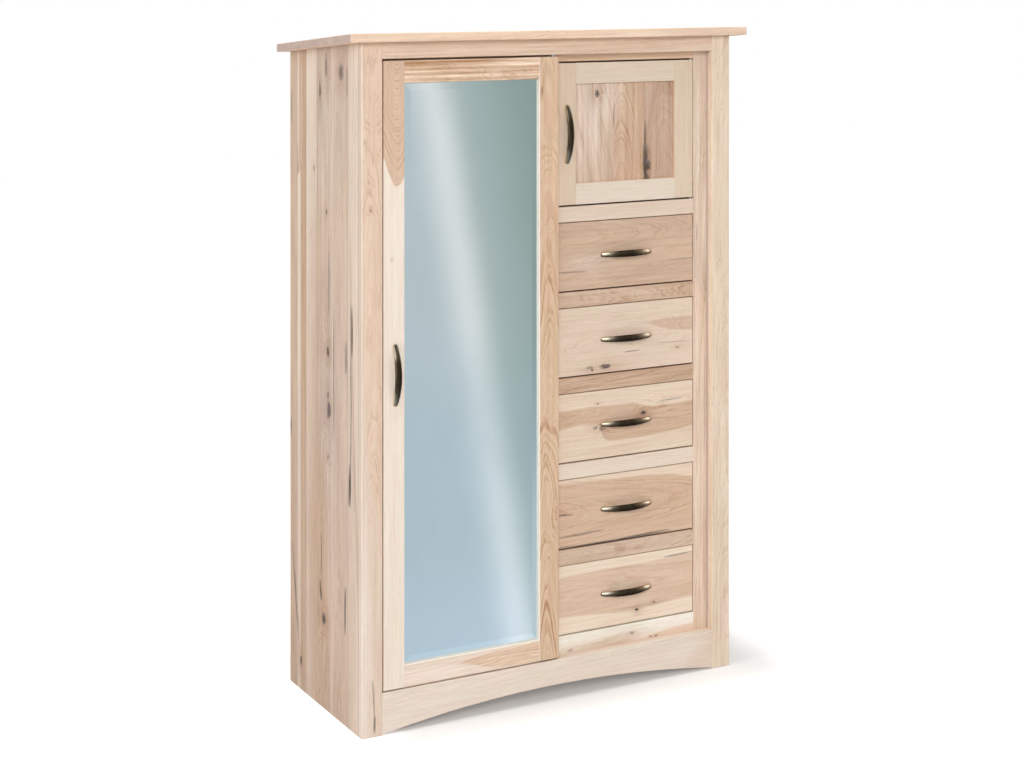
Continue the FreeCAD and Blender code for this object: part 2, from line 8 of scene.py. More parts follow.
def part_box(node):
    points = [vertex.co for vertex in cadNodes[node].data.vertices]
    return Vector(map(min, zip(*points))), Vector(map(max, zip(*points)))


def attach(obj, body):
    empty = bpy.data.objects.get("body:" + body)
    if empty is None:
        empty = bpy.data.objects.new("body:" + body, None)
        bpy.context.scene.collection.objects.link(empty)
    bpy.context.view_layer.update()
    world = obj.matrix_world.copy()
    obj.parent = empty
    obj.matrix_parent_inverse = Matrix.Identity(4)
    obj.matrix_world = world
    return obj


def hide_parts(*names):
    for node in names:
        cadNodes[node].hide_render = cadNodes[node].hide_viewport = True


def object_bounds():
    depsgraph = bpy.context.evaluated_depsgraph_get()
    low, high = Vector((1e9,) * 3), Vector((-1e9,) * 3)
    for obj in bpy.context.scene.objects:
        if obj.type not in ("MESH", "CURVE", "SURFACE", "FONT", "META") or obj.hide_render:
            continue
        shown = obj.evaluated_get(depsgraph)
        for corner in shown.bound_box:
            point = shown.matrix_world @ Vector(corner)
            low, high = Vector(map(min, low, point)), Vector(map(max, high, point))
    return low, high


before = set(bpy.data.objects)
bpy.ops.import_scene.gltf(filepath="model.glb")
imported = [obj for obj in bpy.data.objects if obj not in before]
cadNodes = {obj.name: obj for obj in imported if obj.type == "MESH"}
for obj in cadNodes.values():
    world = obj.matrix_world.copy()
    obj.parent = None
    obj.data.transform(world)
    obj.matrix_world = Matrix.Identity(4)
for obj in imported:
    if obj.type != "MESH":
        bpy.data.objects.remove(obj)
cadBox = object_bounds()
print("frame loaded:", len(cadNodes), "nodes")

toMillimetres = 1000.0
# heights in millimetres: the middle of the lowest drawer, and from one drawer to the next
lowestDrawer, drawerPitch = 257.0, 236.6
# place in metres, turn about the vertical in degrees; the shear leans the level lines a little
cameraSet = {"place": (-2.2548, -4.5914, 1.645), "turn": 26.16, "lens": 62.8, "sensor": 36,
             "shiftY": -0.27776, "shear": 0.037, "clip": (0.05, 100)}


def newObject(name, data):
    made = bpy.data.objects.new(name, data)
    bpy.context.scene.collection.objects.link(made)
    return made


def makeCamera(opts):
    # its axes are right minus shear times up, up, and backwards; the shear sits in the parent inverse, so
    # its own place and turn stay plain
    data = bpy.data.cameras.new("camera")
    data.sensor_width = opts["sensor"]
    data.lens = opts["lens"]
    data.shift_y = opts["shiftY"]
    data.clip_start, data.clip_end = opts["clip"]
    cam, holder = newObject("camera", data), newObject("cameraHolder", None)
    turn = math.radians(opts["turn"])
    right = Vector((math.cos(turn), -math.sin(turn), 0.0))
    ahead = Vector((math.sin(turn), math.cos(turn), 0.0))
    up = Vector((0.0, 0.0, 1.0))

    def fromAxes(x, y, z):
        return Matrix.Translation(Vector(opts["place"])) @ Matrix((x, y, z)).transposed().to_4x4()

    plain = fromAxes(right, up, -ahead)
    leaning = fromAxes(right - opts["shear"] * up, up, -ahead)
    cam.parent = holder
    cam.matrix_parent_inverse = leaning @ plain.inverted()
    cam.matrix_basis = plain
    bpy.context.scene.camera = cam


makeCamera(cameraSet)
print("camera made")


def fill(tree, node, inputs):
    # wires each input, or sets its value
    for name, value in inputs.items():
        if isinstance(value, Wire):
            tree.links.new(value.socket, node.inputs[name])
        else:
            node.inputs[name].default_value = value


def put(tree, kind, inputs=None, out=0, **settings):
    # adds a shader node, sets its fields, fills its inputs and gives one of its outputs
    node = tree.nodes.new("ShaderNode" + kind)
    for name, value in settings.items():
        setattr(node, name, value)
    fill(tree, node, inputs or {})
    return Wire(tree, node.outputs[out]) if node.outputs else node


class Wire:
    # a shader value; each + - * / on it adds one Math node
    def __init__(self, tree, socket):
        self.tree, self.socket = tree, socket

    def math(self, operation, *others):
        return put(self.tree, "Math", dict(enumerate((self, *others))), operation=operation)

    def __add__(self, other):
        return self.math("ADD", other)

    def __sub__(self, other):
        return self.math("SUBTRACT", other)

    def __rsub__(self, other):
        return put(self.tree, "Math", {0: other, 1: self}, operation="SUBTRACT")

    def __mul__(self, other):
        return self.math("MULTIPLY", other)

    def __truediv__(self, other):
        return self.math("DIVIDE", other)

    __radd__, __rmul__ = __add__, __mul__

    def smooth(self, low, high):
        # 0 below low, 1 above high, and a smooth step between
        return put(self.tree, "MapRange", {"Value": self, "From Min": low, "From Max": high},
                   interpolation_type="SMOOTHSTEP")


def vector(tree, x, y, z):
    return put(tree, "CombineXYZ", {"X": x, "Y": y, "Z": z})


def parts(wire):
    node = wire.tree.nodes.new("ShaderNodeSeparateXYZ")
    fill(wire.tree, node, {0: wire})
    return [Wire(wire.tree, out) for out in node.outputs]


def noise(tree, point, detail=1.0, rough=0.5, out="Fac"):
    inputs = {"Vector": point, "Scale": 1.0, "Detail": detail, "Roughness": rough}
    return put(tree, "TexNoise", inputs, out)


def blend(tree, factor, first, second, mode="MIX"):
    # the Mix node's sockets share their names, so the colour ones go by number
    return put(tree, "Mix", {0: factor, 6: first, 7: second}, 2, data_type="RGBA", blend_type=mode)


def bump(tree, strength, depth, height):
    # depth in metres
    return put(tree, "Bump", {"Strength": strength, "Distance": depth, "Height": height})


def paint(red, green, blue):
    # a screen colour, 0 to 255, as the linear colour that shaders take
    def linear(level):
        share = level / 255
        return share / 12.92 if level <= 10 else ((share + 0.055) / 1.055) ** 2.4

    return linear(red), linear(green), linear(blue), 1.0


def newGroup(name, inputs, outputs):
    group = bpy.data.node_groups.new(name, "ShaderNodeTree")
    for way, sockets in (("INPUT", inputs), ("OUTPUT", outputs)):
        for label, kind in sockets.items():
            group.interface.new_socket(label, in_out=way, socket_type="NodeSocket" + kind)
    inner, outer = group.nodes.new("NodeGroupInput"), group.nodes.new("NodeGroupOutput")
    return group, {label: Wire(group, inner.outputs[label]) for label in inputs}, outer


def use(tree, group, inputs):
    node = tree.nodes.new("ShaderNodeGroup")
    node.node_tree = group
    fill(tree, node, inputs)
    return {out.name: Wire(tree, out) for out in node.outputs}


def newMaterial(name):
    mat = bpy.data.materials.new(name)
    mat.use_nodes = True
    mat.node_tree.nodes.clear()
    return mat, mat.node_tree


# noises: a cell's length and width in millimetres, detail and roughness; ripples: how far each moves a ring,
# in rings; dark, height, rough: how much each thing darkens, stands up and roughens;
# darkTakes and pinkGives: what those do to red, green and blue
grainLook = {
    "noises": {
        "bend": (420, 90, 1, 0.5), "edge": (120, 14, 1, 0.5), "wave": (70, 12, 1, 0.5),
        "shake": (18, 5, 1, 0.5), "quiver": (8, 2, 1, 0.5), "fibre": (36, 1.1, 2, 0.6),
        "thread": (80, 3, 2, 0.6), "stripe": (420, 8, 3, 0.62),
        "cloud": (170, 34, 2, 0.5), "blush": (120, 18, 2, 0.5), "pore": (7, 0.45, 1, 0.5),
        "ink": (22, 7, 1, 0.5)},
    "seedSteps": (731, 157, 57), "heartWaver": 5, "heartSoft": 1.2,
    "ripples": {"wave": 2, "shake": 0.9, "quiver": 0.35}, "unevenPace": 0.42, "unevenRings": 2.4,
    "ringPeak": 0.25, "ringEnd": 0.85, "ringLuck": 0.9, "fadeFrom": (0.3, 0.65), "fadeLevel": (0.2, 1.2),
    "poreFrom": (0.58, 0.7), "poreInRings": 0.7, "figureGain": 1.25, "lineMean": 0.2,
    "dark": {"stripe": 2.6, "cloud": 1.4, "fibre": 0.4, "thread": 0.44, "pore": 0.16, "halo": 0.5,
             "end": 0.46},
    "pinkCloud": 0.14, "pinkRing": 0.08, "darkTakes": (0.36, 0.53, 0.66), "pinkGives": (0.3, -0.35, 0.25),
    "greyFrom": (0.36, 0.62), "greyEnd": 1.4, "greyTint": (240, 243, 252),
    "endTint": (0.955, 1.05, 1.195, 1), "ink": ((74, 54, 42), (96, 88, 92)), "inkFrom": (0.4, 0.6),
    "height": {"fibre": 0.5, "line": -0.4, "pore": -1.2, "mark": -0.8}, "bump": 0.35, "bumpDepth": 0.00025,
    "rough": {"plain": 0.42, "fibre": 0.16, "pore": 0.2, "mark": 0.1}}


def makeGrain(look):
    # growth rings are circles round a pith line: radius = sqrt(across^2 + deep^2) + swirl, one ring every
    # ring width, some wider than others; fibres, stripes and pores are noise drawn out along the board.
    # Darkness is their sum, level on average, and takes more blue than red away
    numbers = ("Along", "Across", "Deep", "Seed", "Pith Across", "Pith Deep", "Ring Width", "Wander",
               "Swirl", "Ring Depth", "Plain Rings", "Ripple", "Stripe Depth", "Figure", "Heart Radius",
               "Halo", "Mark", "Grey", "End")
    group, ins, out = newGroup("hickoryGrain",
                               {**dict.fromkeys(numbers, "Float"), "Tone": "Color", "Heart Tone": "Color"},
                               {"Color": "Color", "Roughness": "Float", "Normal": "Vector"})
    seed, end, marked = ins["Seed"], ins["End"], ins["Mark"]
    moved = [ins[way] + seed * step for way, step in zip(("Along", "Across", "Deep"), look["seedSteps"])]

    def drawn(label, out="Fac"):
        long, wide, *rest = look["noises"][label]
        return noise(group, vector(group, moved[0] / long, moved[1] / wide, moved[2] / wide), *rest, out)

    bend = parts(drawn("bend", "Color"))
    aside = ins["Across"] - ins["Pith Across"] + (bend[0] - 0.5) * ins["Wander"]
    below = ins["Deep"] - ins["Pith Deep"] + (bend[1] - 0.5) * ins["Wander"]
    radius = (aside * aside + below * below).math("SQRT") + ins["Swirl"]
    heartEdge = radius + (drawn("edge") - 0.5) * look["heartWaver"] - ins["Heart Radius"]
    heart = 1.0 - heartEdge.smooth(-look["heartSoft"], look["heartSoft"])
    figure = heart.math("MAXIMUM", ins["Figure"])
    ripple = 0.0
    for label, rings in look["ripples"].items():
        ripple = (drawn(label) - 0.5) * rings + ripple
    turn = radius / ins["Ring Width"] + ripple * ins["Ripple"]
    uneven = put(group, "TexNoise", {"W": turn * look["unevenPace"] + seed, "Scale": 1.0, "Detail": 1.0},
                 noise_dimensions="1D")
    turn = turn + (uneven - 0.5) * look["unevenRings"]
    number = turn.math("FLOOR")
    part = turn - number
    luck = parts(put(group, "TexWhiteNoise", {"W": number + seed}, "Color", noise_dimensions="1D"))
    line = part.smooth(0.0, look["ringPeak"]) * (1.0 - part.smooth(look["ringPeak"], look["ringEnd"]))
    line = line * (luck[0] * look["ringLuck"] + (1.0 - look["ringLuck"]))

    fibre, thread, stripe, cloud = (drawn(label) for label in ("fibre", "thread", "stripe", "cloud"))
    blush = parts(drawn("blush", "Color"))
    fadeLow, fadeGain = look["fadeLevel"]
    fade = blush[1].smooth(*look["fadeFrom"]) * fadeGain + fadeLow
    inRings = look["poreInRings"]
    pore = drawn("pore").smooth(*look["poreFrom"]) * (line * inRings + (1.0 - inRings))

    dark = look["dark"]
    plainRings, stripeDepth = ins["Plain Rings"], ins["Stripe Depth"]
    ringDepth = ins["Ring Depth"] * (figure * (look["figureGain"] - plainRings) + plainRings) * fade
    darkness = ((line - look["lineMean"]) * ringDepth + (stripe - 0.5) * stripeDepth * dark["stripe"]
                + (cloud - 0.5) * stripeDepth * dark["cloud"] + (fibre - 0.5) * dark["fibre"]
                + (thread - 0.5) * dark["thread"] + pore * dark["pore"] + ins["Halo"] * dark["halo"]
                + end * dark["end"])
    # a ring's pink is strongest halfway through it
    hump = part * part * -4.0 + part * 4.0
    pink = (blush[0] - 0.5) * look["pinkCloud"] + (luck[1] - 0.5) * look["pinkRing"] * hump
    left = vector(group, *(1.0 - darkness * take + pink * give
                           for take, give in zip(look["darkTakes"], look["pinkGives"])))
    wood = blend(group, heart, ins["Tone"], ins["Heart Tone"])
    wood = blend(group, 1.0, wood, left, "MULTIPLY")
    grey = cloud.smooth(*look["greyFrom"]) * ins["Grey"] + end * look["greyEnd"]
    wood = blend(group, grey, wood, paint(*look["greyTint"]), "MULTIPLY")
    wood = blend(group, end, wood, look["endTint"], "MULTIPLY")
    ink = blend(group, drawn("ink").smooth(*look["inkFrom"]), *(paint(*tone) for tone in look["ink"]))
    wood = blend(group, marked, wood, ink)

    tall, rough = look["height"], look["rough"]
    height = fibre * tall["fibre"] + line * tall["line"] + pore * tall["pore"] + marked * tall["mark"]
    normal = bump(group, look["bump"], look["bumpDepth"], height)
    roughness = fibre * rough["fibre"] + pore * rough["pore"] + marked * rough["mark"] + rough["plain"]
    fill(group, out, {"Color": wood, "Roughness": roughness, "Normal": normal})
    return group


knotLook = {"wiggle": 1.6, "core": (0.48, 1), "haloFall": -0.16}


def makeKnot(look):
    # distance = sqrt((along / stretch)^2 + across^2) / size, roughened by the wiggle; the core ends at 1,
    # and the halo is e^(fall * distance^2)
    numbers = ("Along", "Across", "Wiggle", "At Along", "At Across", "Size", "Stretch")
    group, ins, out = newGroup("hickoryKnot", dict.fromkeys(numbers, "Float"),
                               {"Core": "Float", "Halo": "Float"})
    ahead = (ins["Along"] - ins["At Along"]) / ins["Stretch"]
    aside = ins["Across"] - ins["At Across"]
    away = (ahead * ahead + aside * aside).math("SQRT") / ins["Size"]
    away = away + (ins["Wiggle"] - 0.5) * look["wiggle"]
    core = 1.0 - away.smooth(*look["core"])
    halo = (away * away * look["haloFall"]).math("EXPONENT")
    fill(group, out, {"Core": core, "Halo": halo})
    return group


streakLook = {"wiggle": 3, "solid": 0.3, "hair": 0.01}


def makeStreak(look):
    # a lens drawn along the grain: |across - slope * along| < half width, and it fades towards its ends as
    # sqrt(1 - (along / half length)^2)
    numbers = ("Along", "Across", "Wiggle", "At Along", "At Across", "Length", "Width", "Slope")
    group, ins, out = newGroup("hickoryStreak", dict.fromkeys(numbers, "Float"), {"Mark": "Float"})
    ahead, width = ins["Along"] - ins["At Along"], ins["Width"]
    end = ahead / ins["Length"]
    taper = (1.0 - end * end).math("MAXIMUM", 0.0).math("SQRT")
    off = ins["Across"] - ins["At Across"] - ahead * ins["Slope"]
    off = off + (ins["Wiggle"] - 0.5) * width * look["wiggle"]
    mark = 1.0 - off.math("ABSOLUTE").smooth(width * look["solid"], width + look["hair"])
    fill(group, out, {"Mark": mark * taper})
    return group


grainGroup, knotGroup, streakGroup = makeGrain(grainLook), makeKnot(knotLook), makeStreak(streakLook)
axes = {"x": 0, "y": 1, "z": 2}
# what a board may set, in millimetres and screen colours. Grain: the axes along and across it; knot: along,
# across, size, stretch, depth; patch: along, across, size, stretch, level, colour; streak: along, across,
# half length, half width, slope, depth; painted edge strip, a painted highlight or a darker seam: axis,
# from, to, colour; one board of several: far edge, tone, ring depth, pith
boardBase = {
    "grain": "zx", "tone": (228, 205, 182), "heart": (216, 183, 154), "seed": 1,
    "pith": (0, 60), "taper": 0.04, "ring": 4.2, "wander": 26, "rings": 0.3, "stripes": 0.2,
    "zones": [], "knots": [], "streaks": [], "patches": [], "eased": [], "boards": None, "turned": None,
    "grey": 0, "core": -1000, "plainRings": 0.75, "ripple": 1}
# what all boards share: a slow and a quick noise, and how glued-up boards differ
boardShared = {
    "waver": (210, 34, 2, 0.55), "waverSeed": (13.7, 3.1), "quick": (11, 3.2, 2, 0.6),
    "zoneWaver": 16, "zoneSoft": 4, "easedSoft": 0.5, "swirl": 1.6, "coreFrom": 0.15,
    "endFrom": (0.6, 0.9), "patchWiggle": (0.3, 0.7), "margin": 2, "pithMargin": 200,
    "stripeShare": 0.7, "seedStep": 0.37, "seedSpread": 20, "ior": 1.42}


def curveAt(tree, along, span, spots):
    # a drawn line across the board: across = curve(along)
    start, stop = span
    low, high = min(u for _, u in spots) - 1.0, max(u for _, u in spots) + 1.0
    node = tree.nodes.new("ShaderNodeFloatCurve")
    line = node.mapping.curves[0]
    scaled = [((s - start) / (stop - start), (u - low) / (high - low)) for s, u in spots]
    line.points[0].location, line.points[1].location = scaled[0], scaled[-1]
    for spot in scaled[1:-1]:
        line.points.new(*spot)
    node.mapping.update()
    fill(tree, node, {"Value": (along - start) / (stop - start)})
    return Wire(tree, node.outputs[0]) * (high - low) + low


def stepRamp(tree, where, stops):
    # one colour per board, changing at its edge
    node = tree.nodes.new("ShaderNodeValToRGB")
    node.color_ramp.interpolation = "CONSTANT"
    items = node.color_ramp.elements
    while len(items) < len(stops):
        items.new(0.5)
    for item, (place, color) in zip(items, stops):
        item.position, item.color = place, color
    fill(tree, node, {0: where})
    return Wire(tree, node.outputs[0])


def splitBoards(tree, look, xyz, low, high, shared):
    # boards glued side by side: each has its own tone, pith, ring and stripe depth, and seed
    by, rows = look["boards"]
    by, wide = axes[by], axes[look["grain"][1]]
    begin, size = low[by] - shared["margin"], high[by] - low[by] + 2 * shared["margin"]
    where = (xyz[by] - begin) / size
    starts = [0.0] + [(edge - begin) / size for edge, *_ in rows[:-1]]
    tone = stepRamp(tree, where, [(start, paint(*row[1])) for start, row in zip(starts, rows)])
    # the pith's place, the ring depth and a seed ride in one ramp's red, green and blue
    base, reach = low[wide] - shared["pithMargin"], high[wide] - low[wide] + 2 * shared["pithMargin"]
    stops = []
    for number, (start, (_, _, depth, pith)) in enumerate(zip(starts, rows)):
        stops.append((start, ((pith - base) / reach, depth, (number * shared["seedStep"]) % 1.0, 1.0)))
    packed = parts(stepRamp(tree, where, stops))
    seed = packed[2] * shared["seedSpread"] + look["seed"]
    return tone, packed[0] * reach + base, packed[1], packed[1] * shared["stripeShare"], seed


def drawZones(tree, look, tone, along, across, span, sway, shared):
    # a zone between two drawn lines has its own tone and shows more figure
    figure = 0.0
    for zone in look["zones"]:
        edge = across + (sway - 0.5) * zone.get("waver", shared["zoneWaver"])
        soft = zone.get("soft", shared["zoneSoft"])
        above = (edge - curveAt(tree, along, span, zone["low"])).smooth(-soft, soft)
        below = (curveAt(tree, along, span, zone["high"]) - edge).smooth(-soft, soft)
        inside = above * below * zone.get("level", 1.0)
        tone = blend(tree, inside, tone, paint(*zone.get("tone", look["heart"])))
        figure = inside.math("MAXIMUM", figure)
    return tone, figure


def drawMarks(look, spot, quick, sway, swirl, shared):
    # a knot darkens the wood round it, pushes the rings aside and, unless faint, has a dark core
    halo, mark = 0.0, 0.0
    for place, aside, size, stretch, depth in look["knots"]:
        made = spot(knotGroup, quick, place, aside, Size=size, Stretch=stretch)
        swirl = swirl + made["Halo"] * (size * shared["swirl"])
        halo = (made["Halo"] * depth).math("MAXIMUM", halo)
        if depth > shared["coreFrom"]:
            mark = (made["Core"] * depth).math("MAXIMUM", mark)
    for place, aside, length, width, slope, depth in look["streaks"]:
        made = spot(streakGroup, sway, place, aside, Length=length, Width=width, Slope=slope)
        mark = (made["Mark"] * (quick + 0.5) * depth).math("MAXIMUM", mark)
    return swirl, halo, mark


def woodMaterial(name, look, low, high, shared=boardShared):
    look = {**boardBase, **look}
    mat, tree = newMaterial(name)
    xyz = [value * toMillimetres for value in parts(put(tree, "TexCoord", out="Object"))]
    low, high = [v * toMillimetres for v in low], [v * toMillimetres for v in high]
    grain, wide = (axes[letter] for letter in look["grain"])
    thick = sum(axes.values()) - grain - wide
    along, across = xyz[grain], xyz[wide]
    if look["turned"]:
        # boards that stand beyond the limit run the other way
        axis, limit = look["turned"]
        side = xyz[axes[axis]].math("ABSOLUTE").math("GREATER_THAN", limit)
        along, across = along + (across - along) * side, across + (along - across) * side
    deep = xyz[thick] - (low[thick] + high[thick]) / 2
    seed, span = look["seed"], (low[grain], high[grain])
    long, broad, *kind = shared["waver"]
    stepAlong, stepDeep = shared["waverSeed"]
    point = vector(tree, along / long + seed * stepAlong, across / broad, seed * stepDeep)
    waver = parts(noise(tree, point, *kind, "Color"))
    long, broad, *kind = shared["quick"]
    quick = noise(tree, vector(tree, along / long, across / broad + seed, deep / broad), *kind)

    pithAcross, pithDeep = look["pith"]
    tone, ringDepth, stripeDepth = paint(*look["tone"]), look["rings"], look["stripes"]
    if look["boards"]:
        tone, pithAcross, ringDepth, stripeDepth, seed = splitBoards(tree, look, xyz, low, high, shared)

    def spot(group, wiggle, place, aside, **more):
        return use(tree, group, {"Along": along, "Across": across, "Wiggle": wiggle, "At Along": place,
                                 "At Across": aside, **more})

    tone, figure = drawZones(tree, look, tone, along, across, span, waver[0], shared)
    fast, slow = shared["patchWiggle"]
    for place, aside, size, stretch, level, color in look["patches"]:
        made = spot(knotGroup, quick * fast + waver[1] * slow, place, aside, Size=size, Stretch=stretch)
        tone = blend(tree, made["Halo"] * level, tone, paint(*color))

    soft = shared["easedSoft"]
    for axis, begin, end, color in look["eased"]:
        # a strip of its own colour: a painted highlight along an edge, or a darker seam or joint line
        at = xyz[axes[axis]]
        strip = at.smooth(begin - soft, begin + soft) * (1.0 - at.smooth(end - soft, end + soft))
        tone = blend(tree, strip, tone, paint(*color))
        ringDepth, stripeDepth = (1.0 - strip) * ringDepth, (1.0 - strip) * stripeDepth

    swirl = (along - sum(span) / 2) * look["taper"]
    swirl, halo, mark = drawMarks(look, spot, quick, waver[1], swirl, shared)
    facing = parts(put(tree, "TexCoord", out="Normal"))[grain].math("ABSOLUTE")
    made = use(tree, grainGroup, {
        "Along": along, "Across": across, "Deep": deep, "Seed": seed, "Pith Across": pithAcross,
        "Pith Deep": pithDeep, "Ring Width": look["ring"], "Wander": look["wander"],
        "Ring Depth": ringDepth, "Plain Rings": look["plainRings"], "Ripple": look["ripple"],
        "Stripe Depth": stripeDepth, "Figure": figure, "Heart Radius": look["core"], "Swirl": swirl,
        "Halo": halo, "Mark": mark, "Grey": look["grey"], "End": facing.smooth(*shared["endFrom"]),
        "Tone": tone, "Heart Tone": paint(*look["heart"])})
    shader = put(tree, "BsdfPrincipled", {"Base Color": made["Color"], "Roughness": made["Roughness"],
                                          "Normal": made["Normal"], "IOR": shared["ior"]})
    put(tree, "OutputMaterial", {"Surface": shader})
    return mat


def dress(nodeName, mat):
    mesh = cadNodes[nodeName].data
    mesh.materials.clear()
    mesh.materials.append(mat)


cream, blond, tan = (233, 215, 195), (229, 206, 182), (217, 186, 158)
# drawer fronts: the grain runs across the case
drawerFronts = {
    5: {
        "seed": 5.2, "tone": (214, 183, 157), "pith": (1262, 26), "taper": 0.16, "rings": 0.42,
        "stripes": 0.34, "grey": 0.4, "patches": [(118, 1186, 9, 2.6, 0.8, (226, 203, 184))],
        "streaks": [(62, 1160, 60, 3.4, 0, 0.5), (430, 1172, 50, 3.5, 0, 0.3)],
        "knots": [(393, 1210, 6, 2, 0.1), (60, 1235, 7, 2.2, 0.1)]},
    4: {
        "seed": 4.7, "tone": (232, 210, 189), "heart": (217, 187, 163), "pith": (985, 34), "taper": 0.1,
        "rings": 0.26, "stripes": 0.24,
        "zones": [{"low": [(26, 1020), (280, 1004), (340, 990), (400, 975), (462, 968)],
                   "high": [(26, 1010), (280, 1001), (340, 1006), (400, 1010), (462, 1008)], "waver": 10}],
        "knots": [(179, 890.5, 8.5, 2.4, 0.9), (135, 885.6, 4.4, 1.2, 0.8), (128, 891, 5, 3, 0.55),
                  (412, 922.5, 2.8, 3, 0.6), (61, 1006, 12, 2, 0.1), (198, 1004, 12, 1.8, 0.1),
                  (450, 985, 12, 2, 0.12)],
        "streaks": [(262, 925.4, 26, 2.4, 0, 0.6), (395, 939, 55, 1.6, -0.04, 0.4)]},
    3: {
        "seed": 3.4, "tone": (235, 213, 190), "heart": (215, 183, 156), "pith": (760, 30), "taper": 0.08,
        "rings": 0.34, "stripes": 0.28,
        "zones": [{"low": [(26, 727), (144, 733), (172, 690), (200, 678), (273, 678), (462, 695)],
                   "high": [(26, 778), (176, 779), (257, 776), (360, 763), (462, 768)]}],
        "knots": [(300, 748.2, 7, 1.6, 1), (146, 722, 6, 1.6, 0.55), (166, 718, 8, 1.6, 0.55),
                  (153, 789, 2.6, 2, 0.6)],
        "streaks": [(388, 775.5, 40, 3.2, 0.03, 0.45), (330, 730, 90, 5, -0.06, 0.2)]},
    2: {
        "seed": 2.3, "tone": (237, 214, 191), "heart": (219, 187, 160), "pith": (500, 26), "taper": 0.12,
        "rings": 0.36, "stripes": 0.28,
        "zones": [{"low": [(26, 380), (462, 380)], "high": [(26, 578), (257, 574), (360, 566), (462, 552)]}],
        "streaks": [(45, 492.7, 30, 4.4, 0, 0.7), (98, 432, 75, 4, 0.02, 0.55),
                    (200, 402.5, 190, 5.6, 0.004, 0.85), (330, 470, 90, 2.6, 0, 0.25)]},
    1: {
        "seed": 1.6, "tone": (243, 223, 201), "heart": (227, 198, 173), "pith": (270, 30), "taper": 0.06,
        "rings": 0.24, "stripes": 0.24,
        "zones": [{"low": [(26, 213), (160, 201), (252, 195), (364, 201), (462, 207)],
                   "high": [(26, 314), (174, 327), (336, 325), (462, 327)]}],
        "knots": [(277.7, 196.5, 5.4, 1.4, 0.95), (333.7, 208.6, 3.6, 1.6, 0.65)],
        "streaks": [(415, 331, 48, 3.4, 0.02, 0.6), (300, 205, 100, 4, 0, 0.2)]}}
boardLooks = {f"drawer_{n}_front": {"grain": "xz", **look} for n, look in drawerFronts.items()}
